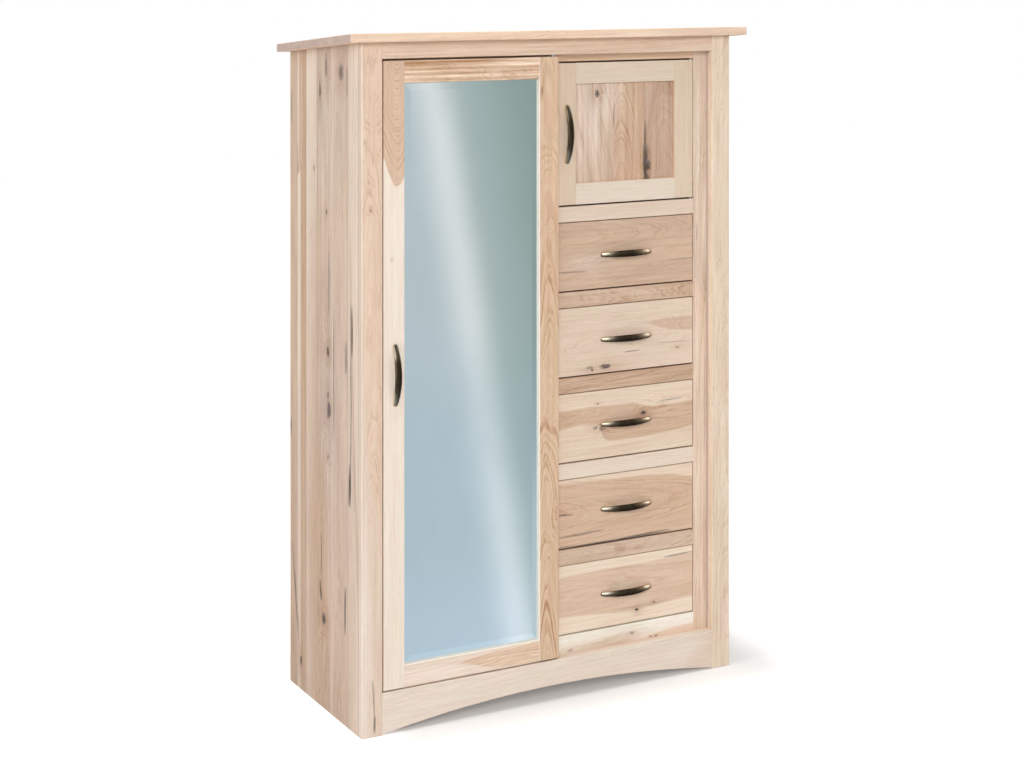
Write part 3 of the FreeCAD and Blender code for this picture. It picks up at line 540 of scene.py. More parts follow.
boardLooks |= {
    "top_board": {
        "grain": "xy", "seed": 9.1, "pith": (-215, 52), "tone": (238, 207, 181), "taper": 0.03,
        "stripes": 0.36, "rings": 0.5, "grey": 0.4},
    "top_front_rail": {
        "grain": "xz", "seed": 8.2, "pith": (1860, 30), "tone": (227, 200, 177), "ring": 3.6,
        "stripes": 0.4, "rings": 0.5},
    "left_front_stile": {
        "seed": 6.1, "pith": (-536, 20), "taper": 0.05, "tone": (227, 204, 184), "ring": 2.6,
        "heart": (228, 200, 177), "rings": 0.36, "stripes": 0.24, "wander": 60, "plainRings": 0.4,
        "zones": [{"low": [(0, -505), (380, -505), (820, -550), (1806, -560)],
                   "high": [(0, -512), (1806, -500)]}],
        "knots": [(1369, -538, 4, 1.6, 0.4), (1131, -521, 9, 1.8, 0.12), (1650, -530, 9, 2.4, 0.1)],
        "streaks": [(90, -530, 60, 3.4, -0.05, 0.5), (34, -527, 24, 4, 0, 0.85)],
        "patches": [(160, -556, 7, 26, 0.8, (242, 227, 214))],
        # a painted highlight along the front corner's edge
        "eased": [("x", -563.3, -561.4, (250, 236, 222))]},
    "right_front_stile": {
        "seed": 6.9, "pith": (560, 30), "taper": 0.08, "tone": (233, 212, 189), "rings": 0.5,
        "stripes": 0.42, "knots": [(1165, 540, 8, 3, 0.1)]},
    "bottom_front_rail": {
        "grain": "xz", "seed": 7.7, "pith": (130, 60), "tone": (236, 220, 205),
        "heart": (229, 206, 186), "rings": 0.22,
        "zones": [{"low": [(-506, -40), (506, -40)],
                   "high": [(-506, -90), (360, -60), (430, 40), (506, 110)], "soft": 40, "level": 0.8}]},
    "recess_lining": {
        "grain": "xz", "turned": ("x", 506), "seed": 14.2, "stripes": 0.3,
        "boards": ("x", [(-506, (226, 200, 178), 0.3, 100), (506, (230, 207, 186), 0.2, 0),
                         # painted light: the right strip is near white, lighter than its wood, to stand in
                         # for the light falling on it
                         (None, (255, 251, 239), 0.5, 500)])},
    "inner_left_stile": {"seed": 15.1, "tone": blond, "pith": (-500, 50)},
    "inner_middle_stile": {"seed": 15.9, "tone": (226, 204, 182), "pith": (40, 40), "rings": 0.2},
    "inner_right_stile": {
        "seed": 16.4, "pith": (560, 40), "tone": (230, 206, 185), "rings": 0.5, "stripes": 0.5,
        "heart": (222, 202, 182),
        "zones": [{"low": [(67, 545), (900, 545), (1200, 455), (1806, 455)],
                   "high": [(67, 545), (1806, 545)]}],
        "streaks": [(760, 501, 160, 1.6, 0, 0.4), (1247, 476, 26, 1.6, 0.05, 0.6)]},
    "inner_top_rails": {
        "grain": "xz", "seed": 17.3, "tone": (222, 190, 162), "pith": (1700, 40),
        "stripes": 0.3},
    "inner_bottom_rails": {
        "grain": "xz", "seed": 18.2, "tone": (255, 249, 237), "heart": (243, 219, 198),
        "pith": (150, 50),
        "zones": [{"low": [(-464, 60), (464, 60)], "high": [(-464, 50), (250, 70), (340, 120), (464, 128)],
                   "waver": 22, "soft": 6}],
        "patches": [(196, 112, 14, 3.2, 0.8, (226, 199, 174)), (90, 96, 10, 4, 0.6, (228, 203, 180))],
        "knots": [(261, 133, 5, 1.8, 0.5), (321, 114, 2.8, 1.5, 0.7), (340, 113, 2.8, 1.5, 0.7),
                  (65, 118, 5, 2.5, 0.3)]},
    "drawer_rails": {
        "grain": "xz", "seed": 19.6, "ring": 3.4, "taper": 0.1,
        "boards": ("z", [(480, (215, 187, 164), 0.6, 380), (720, (237, 219, 201), 0.2, 560),
                         (950, (207, 175, 149), 0.9, 900), (1190, (210, 180, 155), 0.8, 1085),
                         (None, (229, 208, 188), 0.2, 1400)])},
    "mirror_door_left_stile": {
        "seed": 20.4, "ripple": 0.6, "pith": (-464, 10), "taper": -0.284, "tone": (242, 227, 211), "ring": 2,
        "heart": (218, 187, 162), "rings": 0.6, "stripes": 0.14, "wander": 10, "core": -115.8,
        "plainRings": 0, "knots": [(1238.5, -478.5, 2.4, 1.4, 0.5)]},
    "mirror_door_right_stile": {
        "seed": 21.7, "pith": (-20, 9), "taper": 0.12, "tone": (218, 185, 155), "ring": 5.2, "rings": 1.15,
        # a painted highlight on the inner edge beside the mirror, where shade falls
        "stripes": 0.34, "wander": 34, "ripple": 0.45, "eased": [("x", -48, -44.4, (247, 237, 224))],
        "knots": [(1319, -35, 9, 1.6, 0.14), (1061, -7.5, 2, 1.6, 0.6), (1668, -38, 3, 4.6, 0.6),
                  (1560, -16, 9, 3, 0.1), (760, -20, 9, 3, 0.1), (480, -10, 9, 3, 0.1)]},
    "mirror_door_rails": {
        "grain": "xz", "seed": 22.5, "heart": (228, 198, 172), "taper": 0.07,
        # a painted highlight on the rail's edge below the mirror, where shade falls
        "eased": [("z", 170.6, 178, (255, 244, 231))],
        "boards": ("z", [(900, (242, 223, 207), 0.8, 196), (None, (223, 190, 163), 2.6, 1700)]), "ring": 3.4,
        "plainRings": 0.15, "ripple": 0.6,
        "zones": [{"low": [(-444, 60), (-300, 147), (-180, 121), (-46, 114)],
                   "high": [(-444, 50), (-290, 148), (-180, 166), (-46, 169)], "waver": 10}],
        "knots": [(-402, 1722, 9, 1.5, 0.14), (-300, 1738, 7, 1.8, 0.1), (-195, 1712, 7, 2, 0.12),
                  (-110, 140, 6, 2.4, 0.1)]},
    "small_door_left_stile": {"seed": 23.3, "tone": (226, 204, 181), "rings": 0.16, "stripes": 0.14},
    "small_door_right_stile": {
        "seed": 24.8, "tone": (225, 205, 182), "pith": (500, 60), "rings": 0.16, "stripes": 0.14},
    "small_door_rails": {
        "grain": "xz", "seed": 25.2,
        "boards": ("z", [(1500, (232, 216, 198), 0.16, 1300), (None, (229, 211, 191), 0.18, 1800)])},
    "small_door_panel": {
        "seed": 26.5, "ripple": 0.7, "pith": (230, 7), "taper": 0.24, "ring": 3, "grey": 0.3,
        "boards": ("x", [(210, (213, 184, 160), 0.8, 60), (306, (214, 180, 152), 0.8, 232),
                         (None, (203, 172, 148), 0.9, 372)]),
        "knots": [(1653, 156, 9, 1.4, 0.9), (1446, 316, 15, 1.5, 0.9), (1490, 374, 7, 2, 0.14),
                  (1637, 374, 8, 2.4, 0.14), (1402, 314, 11, 2.6, 0.75)],
        "streaks": [(1500, 310, 76, 6, 0, 0.75), (1446, 315, 62, 13, -0.06, 0.95),
                    (1395, 314, 40, 9, 0, 0.8), (1590, 208, 36, 2.8, 0.03, 0.5)],
        "patches": [(1646, 176, 22, 1.5, 0.95, (236, 216, 198)),
                    (1570, 120, 16, 3.8, 0.85, (234, 213, 195))]},
    "left_side_panel": {
        "grain": "zy", "seed": 10.3, "taper": 0.03, "grey": 0.3, "heart": (206, 178, 156), "plainRings": 1,
        "boards": ("y", [(-165, (242, 221, 201), 0.26, -260), (-48, (224, 198, 174), 0.46, -100),
                         (70, (213, 185, 160), 0.62, -10), (160, (244, 225, 206), 0.22, 100),
                         (204, (206, 170, 140), 0.46, 230), (230, (246, 227, 208), 0.2, 240),
                         (None, (214, 184, 157), 0.56, 320)]),
        # a darker line where the panel meets the stile, a painted highlight on one seam, dark seams between
        # other boards
        "eased": [("y", -246, -241, (206, 188, 172)), ("y", 68, 72, (196, 168, 146)),
                  ("y", -50.5, -46, (238, 218, 200)), ("y", 158, 162, (198, 164, 136)),
                  ("y", -167, -163, (204, 176, 154))],
        "zones": [{"low": [(0, -300), (1450, -176), (1806, -168)],
                   "high": [(0, -310), (1450, -178), (1806, -204)], "tone": (214, 184, 160), "level": 0.9},
                  {"low": [(0, 330), (1380, 320), (1500, 193), (1806, 193)],
                   "high": [(0, 320), (1400, 300), (1500, 224), (1806, 222)], "tone": (216, 184, 160),
                   "waver": 2}],
        "patches": [(260, -10, 80, 6, 0.85, (204, 173, 147)), (100, 40, 60, 4, 0.5, (206, 178, 157)),
                    (470, 50, 26, 8, 0.8, (214, 178, 146)), (560, -110, 40, 8, 0.5, (226, 204, 190)),
                    (1180, 6, 26, 8, 0.5, (212, 180, 152)), (432, -55, 20, 3, 0.6, (228, 208, 192)),
                    (150, 262, 24, 8, 0.6, (200, 168, 144)), (1690, 10, 26, 5, 0.6, (200, 184, 174)),
                    (1735, -112, 30, 3, 0.5, (204, 182, 170)), (640, 30, 30, 7, 0.7, (202, 168, 138)),
                    (820, -22, 34, 2.4, 0.7, (216, 200, 192)), (950, -20, 26, 4, 0.5, (200, 174, 154)),
                    (1640, -20, 30, 9, 0.5, (230, 208, 188)), (300, -110, 30, 8, 0.5, (212, 180, 154))],
        "knots": [(1755, -1, 12, 3.4, 0.6), (1690, 47, 11, 2.6, 0.7), (1735, -115, 22, 1.3, 0.7),
                  (978, -16, 13, 1.3, 0.9), (821, -24, 20, 1.5, 0.85), (1475, 95, 7, 1.4, 0.6),
                  (1358, -5, 7, 1.4, 0.75), (245, 15.5, 16, 1.2, 0.95), (692, -16, 5, 1.6, 0.7),
                  (83, 203, 10, 1.8, 0.9), (860, -16, 8, 1.4, 0.75)],
        "streaks": [(1707, -160, 44, 6, 0, 0.55), (1163, -24, 90, 10, 0, 0.45), (930, -62, 170, 4, 0, 0.7),
                    (977, -153, 44, 9, 0, 0.55), (860, -187, 270, 5, 0, 0.9), (1050, -196, 70, 9, 0, 0.9),
                    (645, -184, 60, 11, 0, 0.95), (417, 36, 60, 4, 0, 0.8), (318, 40, 28, 8, 0.1, 0.8),
                    (305, -146, 66, 11, 0, 0.85), (1650, 281, 50, 7, 0, 0.45), (1501, 229, 44, 4, 0, 0.5),
                    (260, 246, 150, 8, 0.2, 0.55), (732, 286, 30, 7, 0, 0.5)]},
    "right_side_panel": {
        "grain": "zy", "seed": 12.3, "taper": 0.03, "grey": 0.5,
        "boards": ("y", [(-120, (214, 190, 168), 0.4, -200), (-5, (230, 209, 188), 0.24, -60),
                         (120, (210, 182, 158), 0.5, 60), (215, (226, 203, 181), 0.28, 180),
                         (None, (212, 184, 160), 0.4, 270)]),
        "knots": [(1320, 40, 9, 2.4, 0.75), (610, 62, 7, 2.6, 0.7), (1010, -170, 5, 2.4, 0.6)],
        "streaks": [(1180, 44, 90, 2.4, 0, 0.55), (420, -165, 120, 3, 0, 0.6), (760, -60, 50, 3, 0, 0.4)]},
    "back_panel": {
        "seed": 13.3, "taper": 0.05, "pith": (0, 300), "grey": 0.4,
        "boards": ("x", [(-330, (222, 198, 174), 0.3, -430), (-90, (228, 206, 184), 0.24, -200),
                         (160, (216, 190, 165), 0.4, 40), (370, (226, 204, 181), 0.26, 260),
                         (None, (219, 194, 170), 0.34, 450)]),
        "knots": [(1290, 70, 8, 2.4, 0.7), (540, -420, 7, 2.2, 0.7)]},
    "centre_partition": {"grain": "zy", "seed": 27.1, "tone": blond},
    "drawer_side_panel": {"grain": "zy", "seed": 28.4, "tone": blond},
    "floor_panel": {"grain": "xy", "seed": 29.2, "tone": blond},
    "compartment_floor": {"grain": "xy", "seed": 30.6, "tone": blond},
    "hat_shelf": {"grain": "xy", "seed": 31.3, "tone": blond},
    "shelf_cleats": {"grain": "yz", "seed": 32.8, "tone": tan, "pith": (1500, 60)},
    "hanging_rod": {"grain": "xz", "seed": 33.1, "tone": cream, "pith": (1456, 0)},
    "door_catches": {"seed": 34.2, "tone": tan, "pith": (0, 40)}}
boardLooks |= {f"drawer_{n}_box": {"grain": "xz", "seed": 35.0 + n * 1.7, "rings": 0.14,
                                   "stripes": 0.12, "tone": (232, 212, 188),
                                   "pith": (160 + drawerPitch * n, 60)}
               for n in range(1, 6)}
for nodeName, look in boardLooks.items():
    dress(nodeName, woodMaterial(nodeName + "Hickory", look, *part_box(nodeName)))
print("boards dressed:", len(boardLooks))


# finishes of the small hidden things and the glass: two tones, roughness from and to, and the grain's cell
# size in millimetres along x, y and z
fittingFinishes = {
    "steel": {"tones": ((176, 176, 173), (206, 206, 204)), "metallic": 1, "rough": (0.28, 0.46),
              "cell": (1.4, 40, 3), "bump": 0.12},
    "silver": {"tones": ((228, 236, 238), (232, 240, 242)), "metallic": 1, "rough": (0.012, 0.03),
               "cell": (180, 180, 260), "bump": 0},
    "hardboard": {"tones": ((126, 92, 62), (166, 131, 97)), "metallic": 0, "rough": (0.55, 0.8),
                  "cell": (2.6, 2.6, 4), "bump": 0.3}}
# what they share: the detail and roughness of the noise, where the second tone takes over, and the bump's
# depth in metres
fittingShared = {"noise": (3, 0.6), "toneFrom": (0.3, 0.7), "bumpDepth": 0.0002}


def fittingMaterial(name, opts, shared=fittingShared):
    mat, tree = newMaterial(name)
    place = parts(put(tree, "TexCoord", out="Object"))
    point = vector(tree, *(at * (toMillimetres / size) for at, size in zip(place, opts["cell"])))
    cells = noise(tree, point, *shared["noise"])
    color = blend(tree, cells.smooth(*shared["toneFrom"]), *(paint(*tone) for tone in opts["tones"]))
    low, high = opts["rough"]
    inputs = {"Base Color": color, "Metallic": opts["metallic"], "Roughness": cells * (high - low) + low}
    if opts["bump"]:
        inputs["Normal"] = bump(tree, opts["bump"], shared["bumpDepth"], cells)
    put(tree, "OutputMaterial", {"Surface": put(tree, "BsdfPrincipled", inputs)})
    return mat


fittings = {name: fittingMaterial(name, opts) for name, opts in fittingFinishes.items()}
for nodeName in cadNodes:
    if "runners" in nodeName or "hinge" in nodeName or nodeName == "rod_cups":
        dress(nodeName, fittings["steel"])
dress("mirror_glass", fittings["silver"])
dress("mirror_backing", fittings["hardboard"])
print("fittings dressed")


# bow pulls, in millimetres; tipRise is how far the front line drops over its last few millimetres; level
# is where a section is widest, from its back line, 0, to its front line, 1. Powers: how late and how
# roundly that drop comes, and how full a section is across, in front and behind
pullShape = {"length": 164, "foot": 12, "rise": 29.5, "tipRise": 4, "bar": 6, "width": 19,
             "endWidth": 13, "level": 0.36, "steps": 84, "around": 32, "sharpAngle": 50,
             "powers": {"late": 60, "round": 0.5, "across": 0.6, "front": 0.85, "behind": 0.45}}
# screws, in millimetres; the head's outline is in shares of its radius and thickness
screwShape = {"at": (-75.5, 75.5), "radius": 2, "headRadius": 4, "headThick": 2.2, "around": 48,
              "head": [(1, 0), (1, 0.35), (0.94, 0.62), (0.8, 0.84), (0.6, 0.96), (0.45, 1),
                       (0.3, 1), (0.15, 1)],
              "wearAndPaintedLight": 0.6, "crossWidth": 0.45, "crossDepth": 0.7, "crossReach": 0.5, "crossFrom": 0.5}
# hands rub the ends, from and over shares of the half length, and they also carry a painted highlight; upper
# is a painted highlight on the upper edge (the left one on upright pulls), lowerEnds the share the ends keep
# below, painted shade
pullWearAndLight = {"endFrom": 0.32, "endOver": 0.58, "upper": 0.3, "ends": 0.7, "lowerEnds": 0.35}


def ringFaces(rows, columns, base=0):
    # quads between the rows of a closed-round grid, and a cap on each end row
    row, column = np.meshgrid(np.arange(rows - 1), np.arange(columns), indexing="ij")
    after = (column + 1) % columns
    quads = np.stack([row * columns + column, row * columns + after, (row + 1) * columns + after,
                      (row + 1) * columns + column], -1).reshape(-1, 4) + base
    first = np.arange(columns)[::-1] + base
    last = np.arange(columns) + (rows - 1) * columns + base
    return quads.tolist() + [first.tolist(), last.tolist()]


def bowSurface(opts, wearAndPaintedLight):
    # along u in -1..1, the front line follows a flat arc that drops to the door over its last few
    # millimetres, the back line a tighter arc; each section is a superellipse between them, as wide as the
    # leaf outline there
    half, heel = opts["length"] / 2, opts["length"] / 2 - opts["foot"]
    u = np.sin(np.linspace(-1.0, 1.0, opts["steps"]) * math.pi / 2)[:, None]
    around = np.linspace(0.0, 2 * math.pi, opts["around"], endpoint=False)[None, :]

    def arc(along, reach, rise):
        radius = (reach ** 2 + rise ** 2) / (2 * rise)
        return np.sqrt(radius ** 2 - along ** 2) - (radius - rise)

    power = opts["powers"]
    drop = np.clip(1.0 - np.abs(u) ** power["late"], 0, 1) ** power["round"]
    front = (arc(half * u, half, opts["rise"] - opts["tipRise"]) + opts["tipRise"]) * drop
    back = arc(heel * u, heel, opts["rise"] - opts["bar"])
    wide = opts["endWidth"] / 2 + (opts["width"] - opts["endWidth"]) / 2 * (1.0 - u ** 2)
    cos, sin = np.cos(around), np.sin(around)
    spread = np.sign(cos) * np.abs(cos) ** power["across"]
    outer = (1.0 - opts["level"]) * np.abs(sin) ** power["front"]
    inner = -opts["level"] * np.abs(sin) ** power["behind"]
    level = opts["level"] + np.where(sin > 0, outer, inner)
    along = heel * u + (half - heel) * u * level
    out = back + (front - back) * level
    points = np.stack(np.broadcast_arrays(along, -out, wide * spread), -1).reshape(-1, 3)
    # 0 is the deepest colour, painted shade on the lower middle; 1 the most worn, rubbed ends with a painted
    # highlight
    # painted light: the upper side is lighter and the lower side darker, as light falls on the bow
    upper = 0.5 + 0.5 * spread
    ends = np.clip((np.abs(u) - wearAndPaintedLight["endFrom"]) / wearAndPaintedLight["endOver"], 0, 1)
    ends = ends * ends * (3 - 2 * ends) * (wearAndPaintedLight["lowerEnds"] + (1.0 - wearAndPaintedLight["lowerEnds"]) * upper)
    wornAndLit = wearAndPaintedLight["upper"] * upper + wearAndPaintedLight["ends"] * ends
    return points, ringFaces(opts["steps"], opts["around"]), wornAndLit.ravel()


def screwSurface(opts, woodThick, place, base):
    # a shank and a domed head turned from one profile, with a cross cut into the head: its depth is
    # e^-((distance from the nearer arm / width)^2)
    tall, wide = opts["headThick"], opts["headRadius"]
    shank = [(opts["radius"], 0.0), (opts["radius"], woodThick)]
    profile = np.array(shank + [(wide * r, woodThick + tall * t) for r, t in opts["head"]])
    spin = np.linspace(0.0, 2 * math.pi, opts["around"], endpoint=False)[None, :]
    radius, height = profile[:, :1], profile[:, 1:]
    x, z = radius * np.cos(spin), radius * np.sin(spin)
    cut = np.exp(-(np.minimum(np.abs(x), np.abs(z)) / opts["crossWidth"]) ** 2)
    cut = cut * (radius < opts["crossReach"] * wide) * (height > woodThick + opts["crossFrom"] * tall)
    points = np.stack([x + place, height - opts["crossDepth"] * cut, z], -1).reshape(-1, 3)
    return points, ringFaces(len(profile), opts["around"], base), np.full(len(points), opts["wearAndPaintedLight"])


def makePull(name, node, body, face, upright, woodThick):
    points, faces, wearAndPaintedLight = bowSurface(pullShape, pullWearAndLight)
    for place in screwShape["at"]:
        more = screwSurface(screwShape, woodThick, place, len(points))
        points, wearAndPaintedLight = np.concatenate([points, more[0]]), np.concatenate([wearAndPaintedLight, more[2]])
        faces += more[1]
    if upright:
        points = np.stack([-points[:, 2], points[:, 1], points[:, 0]], -1)
    points = (points + np.array(face)) / toMillimetres
    mesh = bpy.data.meshes.new(name)
    mesh.from_pydata(points.tolist(), [], faces)
    mesh.attributes.new("wearAndPaintedLight", "FLOAT", "POINT").data.foreach_set("value", wearAndPaintedLight.astype(np.float32))
    mesh.shade_smooth()
    mesh.set_sharp_from_angle(angle=math.radians(pullShape["sharpAngle"]))
    mesh.materials.append(bronze)
    pull = newObject(name, mesh)
    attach(pull, body)
    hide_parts(node)


# deep is painted shade on the lower middle; worn is rubbed metal that also carries a painted highlight
pullFinish = {"deep": (46, 34, 24), "dark": (92, 77, 60), "wornAndLit": (224, 210, 186), "tarnish": (40, 33, 26),
              "darkFrom": (0, 0.35), "wornAndLitFrom": (0.3, 0.95), "tarnishFrom": (0.56, 0.7),
              "tarnishLevel": 0.3, "patchScale": 110, "speckScale": 900, "patchWear": 0.25,
              "rough": {"plain": 0.2, "unworn": 0.1, "speck": 0.12}, "bump": 0.2, "bumpDepth": 0.0002,
              "speckHeight": 0.4}


def bronzeMaterial(opts):
    # dark bronze, rubbed paler where hands reach it, with a painted highlight on the ends and upper edge,
    # painted shade on the lower middle, and soft patches and specks of tarnish
    mat, tree = newMaterial("rubbedBronzePaintedLight")
    place, rough = put(tree, "TexCoord", out="Object"), opts["rough"]
    patch = put(tree, "TexNoise", {"Vector": place, "Scale": opts["patchScale"], "Detail": 3.0})
    speck = put(tree, "TexNoise", {"Vector": place, "Scale": opts["speckScale"], "Detail": 2.0})
    wearAndPaintedLight = put(tree, "Attribute", out="Fac", attribute_name="wearAndPaintedLight") + (patch - 0.5) * opts["patchWear"]
    rubAndHighlight = wearAndPaintedLight.smooth(*opts["wornAndLitFrom"])
    color = blend(tree, wearAndPaintedLight.smooth(*opts["darkFrom"]), paint(*opts["deep"]), paint(*opts["dark"]))
    color = blend(tree, rubAndHighlight, color, paint(*opts["wornAndLit"]))
    tarnish = speck.smooth(*opts["tarnishFrom"]) * opts["tarnishLevel"]
    color = blend(tree, tarnish, color, paint(*opts["tarnish"]))
    roughness = (1.0 - rubAndHighlight) * rough["unworn"] + (speck - 0.5) * rough["speck"] + rough["plain"]
    normal = bump(tree, opts["bump"], opts["bumpDepth"], patch + speck * opts["speckHeight"])
    inputs = {"Base Color": color, "Metallic": 1.0, "Roughness": roughness, "Normal": normal}
    put(tree, "OutputMaterial", {"Surface": put(tree, "BsdfPrincipled", inputs)})
    return mat


bronze = bronzeMaterial(pullFinish)
# each pull's body, its place in millimetres, whether it stands upright, and the wood's thickness behind it
pulls = [("mirror_door", (-470, -264.35, 935), True, 25),
         ("small_door", (55.2, -231.35, 1542.9), True, 20)]
pulls += [(f"drawer_{n}", (244.0, -230.85, lowestDrawer + drawerPitch * (n - 1)), False, 32.0)
          for n in range(1, 6)]
for body, *stand in pulls:
    makePull(f"{body}_bow_pull", f"{body}_pull", body, *stand)
print("pulls made")


# floor, backdrop and light, in metres; lamp: place, target, watts, size. The floor's own glow, seen by the
# camera,
# is painted light: near beside and under the case, so its shade shows there, and far from fade metres on and
# from leftFrom metres left of the middle, where it paints out the case's shade
studio = {
    "floor": (240, 239, 238), "reach": 40, "drop": 0.0005, "near": 0.15, "far": 0.8, "fade": 0.35,
    "leftFrom": (0.42, 0.58), "world": 0.315,
    "lamps": {"key": ((-3.8, -8.1, 4.2), (0, 0, 0.9), 371, 2.6),
              "side": ((-8.5, -1.4, 3.2), (0, 0, 0.9), 182, 2.6),
              "top": ((0.3, -0.4, 5.5), (0, 0, 0), 132, 3)}}
# what shiny things see, by angle in degrees right of the middle of the mirror's view: a level left of one
# tall bright stripe, two to its right and a brighter wall beyond, each blended in over its From range. The
# stripe leans, and is (left, right) so many degrees wide. Heights are sines of the angle to the level.
# Lamp: middle, inner and outer half width in degrees, strength
glow = {
    "turn": 26.16, "lean": 0.165, "climb": (-0.3, 0.02), "left": (0.572, 0.63, 0.655),
    "right": (0.455, 0.53, 0.518), "rightFrom": (-0.3, 1), "farRight": (0.322, 0.388, 0.358),
    "farRightFrom": (0.6, 3.4), "wall": (0.74, 0.76, 0.76), "wallFrom": (14, 32),
    "stripeAt": -2.44, "stripeWidth": (0.66, 0.6), "stripe": (0.27, 0.215, 0.18),
    "midStripe": 0.62, "midFrom": (0.11, 0.16), "midTo": (0.18, 0.23),
    "tints": [(0.1, 0.22, (0.915, 0.975, 1.02)), (0.235, 0.285, (1.07, 1.07, 1.11)),
              (0.34, 0.44, (1.1, 1.1, 1.1))],
    "lowFloor": (0.36, 0.46, 0.5), "lowFrom": (0.05, 0.3), "lowLevel": 0.9,
    "cornerFloor": (0.62, 0.71, 0.75), "cornerFrom": (4, 8), "cornerDown": (0.12, 0.32),
    "behind": (0.72, 0.74, 0.74), "behindFrom": (-0.1, 0.1),
    "lamps": [(-46, 10, 30, 2.2), (74, 8, 34, 2)], "lampsFrom": (-0.3, -0.1),
    "upper": 0.15, "upperFrom": (0.4, 0.75), "under": 0.45, "underFrom": (0.52, 0.78)}


def seenRays(tree):
    # 1 for rays from the camera, also through something clear, and 1 for mirrored rays
    rays, kinds = tree.nodes.new("ShaderNodeLightPath").outputs, ("Camera", "Glossy", "Transmission")
    camera, glossy, through = (Wire(tree, rays[f"Is {kind} Ray"]) for kind in kinds)
    return (camera + through).math("MINIMUM", 1.0), glossy


def makeFloor(opts):
    reach, drop = opts["reach"], opts["drop"]
    mesh = bpy.data.meshes.new("floor")
    corners = [(x * reach, y * reach, -drop) for x, y in ((-1, -1), (1, -1), (1, 1), (-1, 1))]
    mesh.from_pydata(corners, [], [(0, 1, 2, 3)])
    floor = newObject("floor", mesh)
    mat, tree = newMaterial("floor")
    direct, glossy = seenRays(tree)
    place = parts(put(tree, "TexCoord", out="Object"))
    # distance from the case's footprint
    beside = []
    for at, low, high in list(zip(place, *cadBox))[:2]:
        beside.append(((at - (low + high) / 2).math("ABSOLUTE") - (high - low) / 2).math("MAXIMUM", 0.0))
    away = (beside[0] * beside[0] + beside[1] * beside[1]).math("SQRT").smooth(0.0, opts["fade"])
    away = away.math("MAXIMUM", (place[0] * -1.0).smooth(*opts["leftFrom"]))
    # painted light on the floor: weak by the case, strong away from it and to its left, where it hides the
    # shade
    paintedFloorLight = (away * (opts["far"] - opts["near"]) + opts["near"]) * direct
    matte = put(tree, "BsdfDiffuse", {"Color": paint(*opts["floor"])})
    shine = put(tree, "Emission", {"Color": (1.0, 1.0, 1.0, 1.0), "Strength": paintedFloorLight})
    both = put(tree, "AddShader", {0: matte, 1: shine})
    clear = put(tree, "BsdfTransparent")
    put(tree, "OutputMaterial", {"Surface": put(tree, "MixShader", {0: glossy, 1: both, 2: clear})})
    mesh.materials.append(mat)


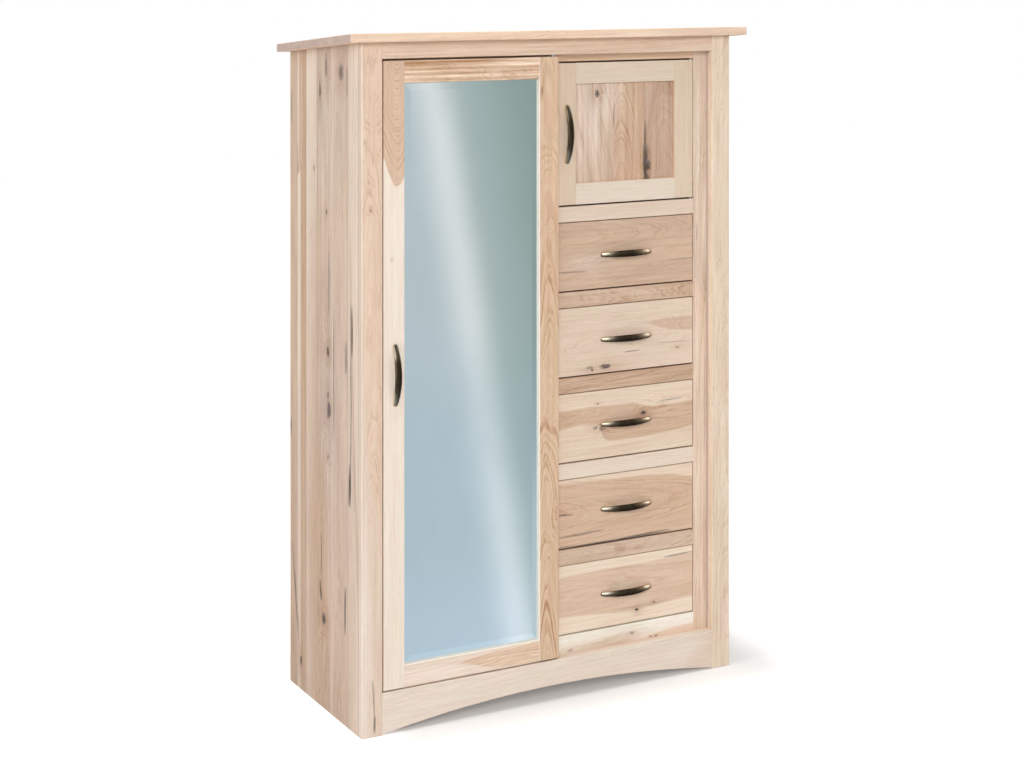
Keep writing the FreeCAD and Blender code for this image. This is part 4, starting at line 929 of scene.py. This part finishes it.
def makeWorld(plainLevel, opts):
    world = bpy.data.worlds.new("studio")
    bpy.context.scene.world = world
    world.use_nodes = True
    tree = world.node_tree
    tree.nodes.clear()
    direct, glossy = seenRays(tree)
    way = put(tree, "TexCoord")
    turn = math.radians(opts["turn"])

    def toward(x, y, z):
        return put(tree, "VectorMath", {0: way, 1: (x, y, z)}, "Value", operation="DOT_PRODUCT")

    def lighter(begin, color, factor):
        return blend(tree, factor, begin, blend(tree, 1.0, begin, (*color, 1.0), "LIGHTEN"))

    # the angle comes from the sideways part alone, so a bevel that tips the view keeps its place
    rise, down = toward(0.0, 0.0, 1.0), toward(0.0, 0.0, -1.0)
    lowest, highest = opts["climb"]
    climb = rise.math("MAXIMUM", lowest).math("MINIMUM", highest)
    sideways = toward(1.0, 0.0, 0.0) / (1.0 - climb * climb).math("SQRT")
    bearing = sideways.math("MINIMUM", 1.0).math("MAXIMUM", -1.0).math("ARCSINE")
    angle = (bearing - turn + climb * opts["lean"]) * math.degrees(1.0)
    off = angle - opts["stripeAt"]
    room = blend(tree, off.smooth(*opts["rightFrom"]), (*opts["left"], 1.0), (*opts["right"], 1.0))
    room = blend(tree, off.smooth(*opts["farRightFrom"]), room, (*opts["farRight"], 1.0))
    room = blend(tree, angle.smooth(*opts["wallFrom"]), room, (*opts["wall"], 1.0))
    # bright stripe: e^-((off / width)^2), with its own width on either side, and dimmer halfway down
    toLeft, toRight = opts["stripeWidth"]
    width = off.math("GREATER_THAN", 0.0) * (toRight - toLeft) + toLeft
    stripe = ((off / width) * (off / width) * -1.0).math("EXPONENT")
    halfway = down.smooth(*opts["midFrom"]) * (1.0 - down.smooth(*opts["midTo"]))
    stripe = stripe * (1.0 - halfway * (1.0 - opts["midStripe"]))
    glare = vector(tree, *(stripe * level for level in opts["stripe"]))
    room = put(tree, "VectorMath", {0: room, 1: glare}, operation="ADD")
    for begin, end, tint in opts["tints"]:
        tinted = blend(tree, 1.0, room, (*tint, 1.0), "MULTIPLY")
        room = blend(tree, down.smooth(begin, end), room, tinted)
    room = lighter(room, opts["lowFloor"], down.smooth(*opts["lowFrom"]) * opts["lowLevel"])
    cornerFrom, cornerTo = (turn + math.radians(edge) for edge in opts["cornerFrom"])
    corner = bearing.smooth(cornerFrom, cornerTo) * down.smooth(*opts["cornerDown"])
    room = lighter(room, opts["cornerFloor"], corner)
    behind = toward(0.0, 1.0, 0.0).smooth(*opts["behindFrom"])
    room = blend(tree, behind, room, (*opts["behind"], 1.0))
    # tall soft lamps to either side, from a little below the level upwards
    flat = (1.0 - rise * rise).math("MAXIMUM", 0.01).math("SQRT")
    lamps = 0.0
    for middle, inner, outer, strength in opts["lamps"]:
        at = math.radians(middle)
        facing = toward(math.sin(at), -math.cos(at), 0.0) / flat
        edges = [math.cos(math.radians(edge)) for edge in (outer, inner)]
        lamps = facing.smooth(*edges) * strength + lamps
    lamps = lamps * rise.smooth(*opts["lampsFrom"]) * (1.0 - behind)
    # darker ceiling and ground, which only strongly tilted surfaces see
    ceiling = rise.smooth(*opts["upperFrom"]) * (1.0 - opts["upper"])
    ground = down.smooth(*opts["underFrom"]) * (1.0 - opts["under"])
    dim = (1.0 - ceiling) * (1.0 - ground)
    shown = put(tree, "VectorMath", {0: room, 1: lamps}, operation="ADD")
    shown = put(tree, "VectorMath", {0: shown, 1: dim}, operation="MULTIPLY")
    level = direct * (1.0 - plainLevel) + plainLevel
    plain = put(tree, "Background", {"Color": (1.0, 1.0, 1.0, 1.0), "Strength": level})
    shiny = put(tree, "Background", {"Color": shown, "Strength": 1.0})
    put(tree, "OutputWorld", {"Surface": put(tree, "MixShader", {0: glossy, 1: plain, 2: shiny})})


def makeLamp(name, place, target, power, size):
    data = bpy.data.lights.new(name, "AREA")
    data.energy, data.size = power, size
    lamp = newObject(name, data)
    lamp.location = place
    lamp.rotation_euler = (Vector(target) - Vector(place)).to_track_quat("-Z", "Y").to_euler()
    lamp.visible_glossy = False


makeFloor(studio)
makeWorld(studio["world"], glow)
for name, (place, target, power, size) in studio["lamps"].items():
    makeLamp(name, place, target, power, size)
bpy.context.scene.view_settings.view_transform = "Standard"
print("studio made")
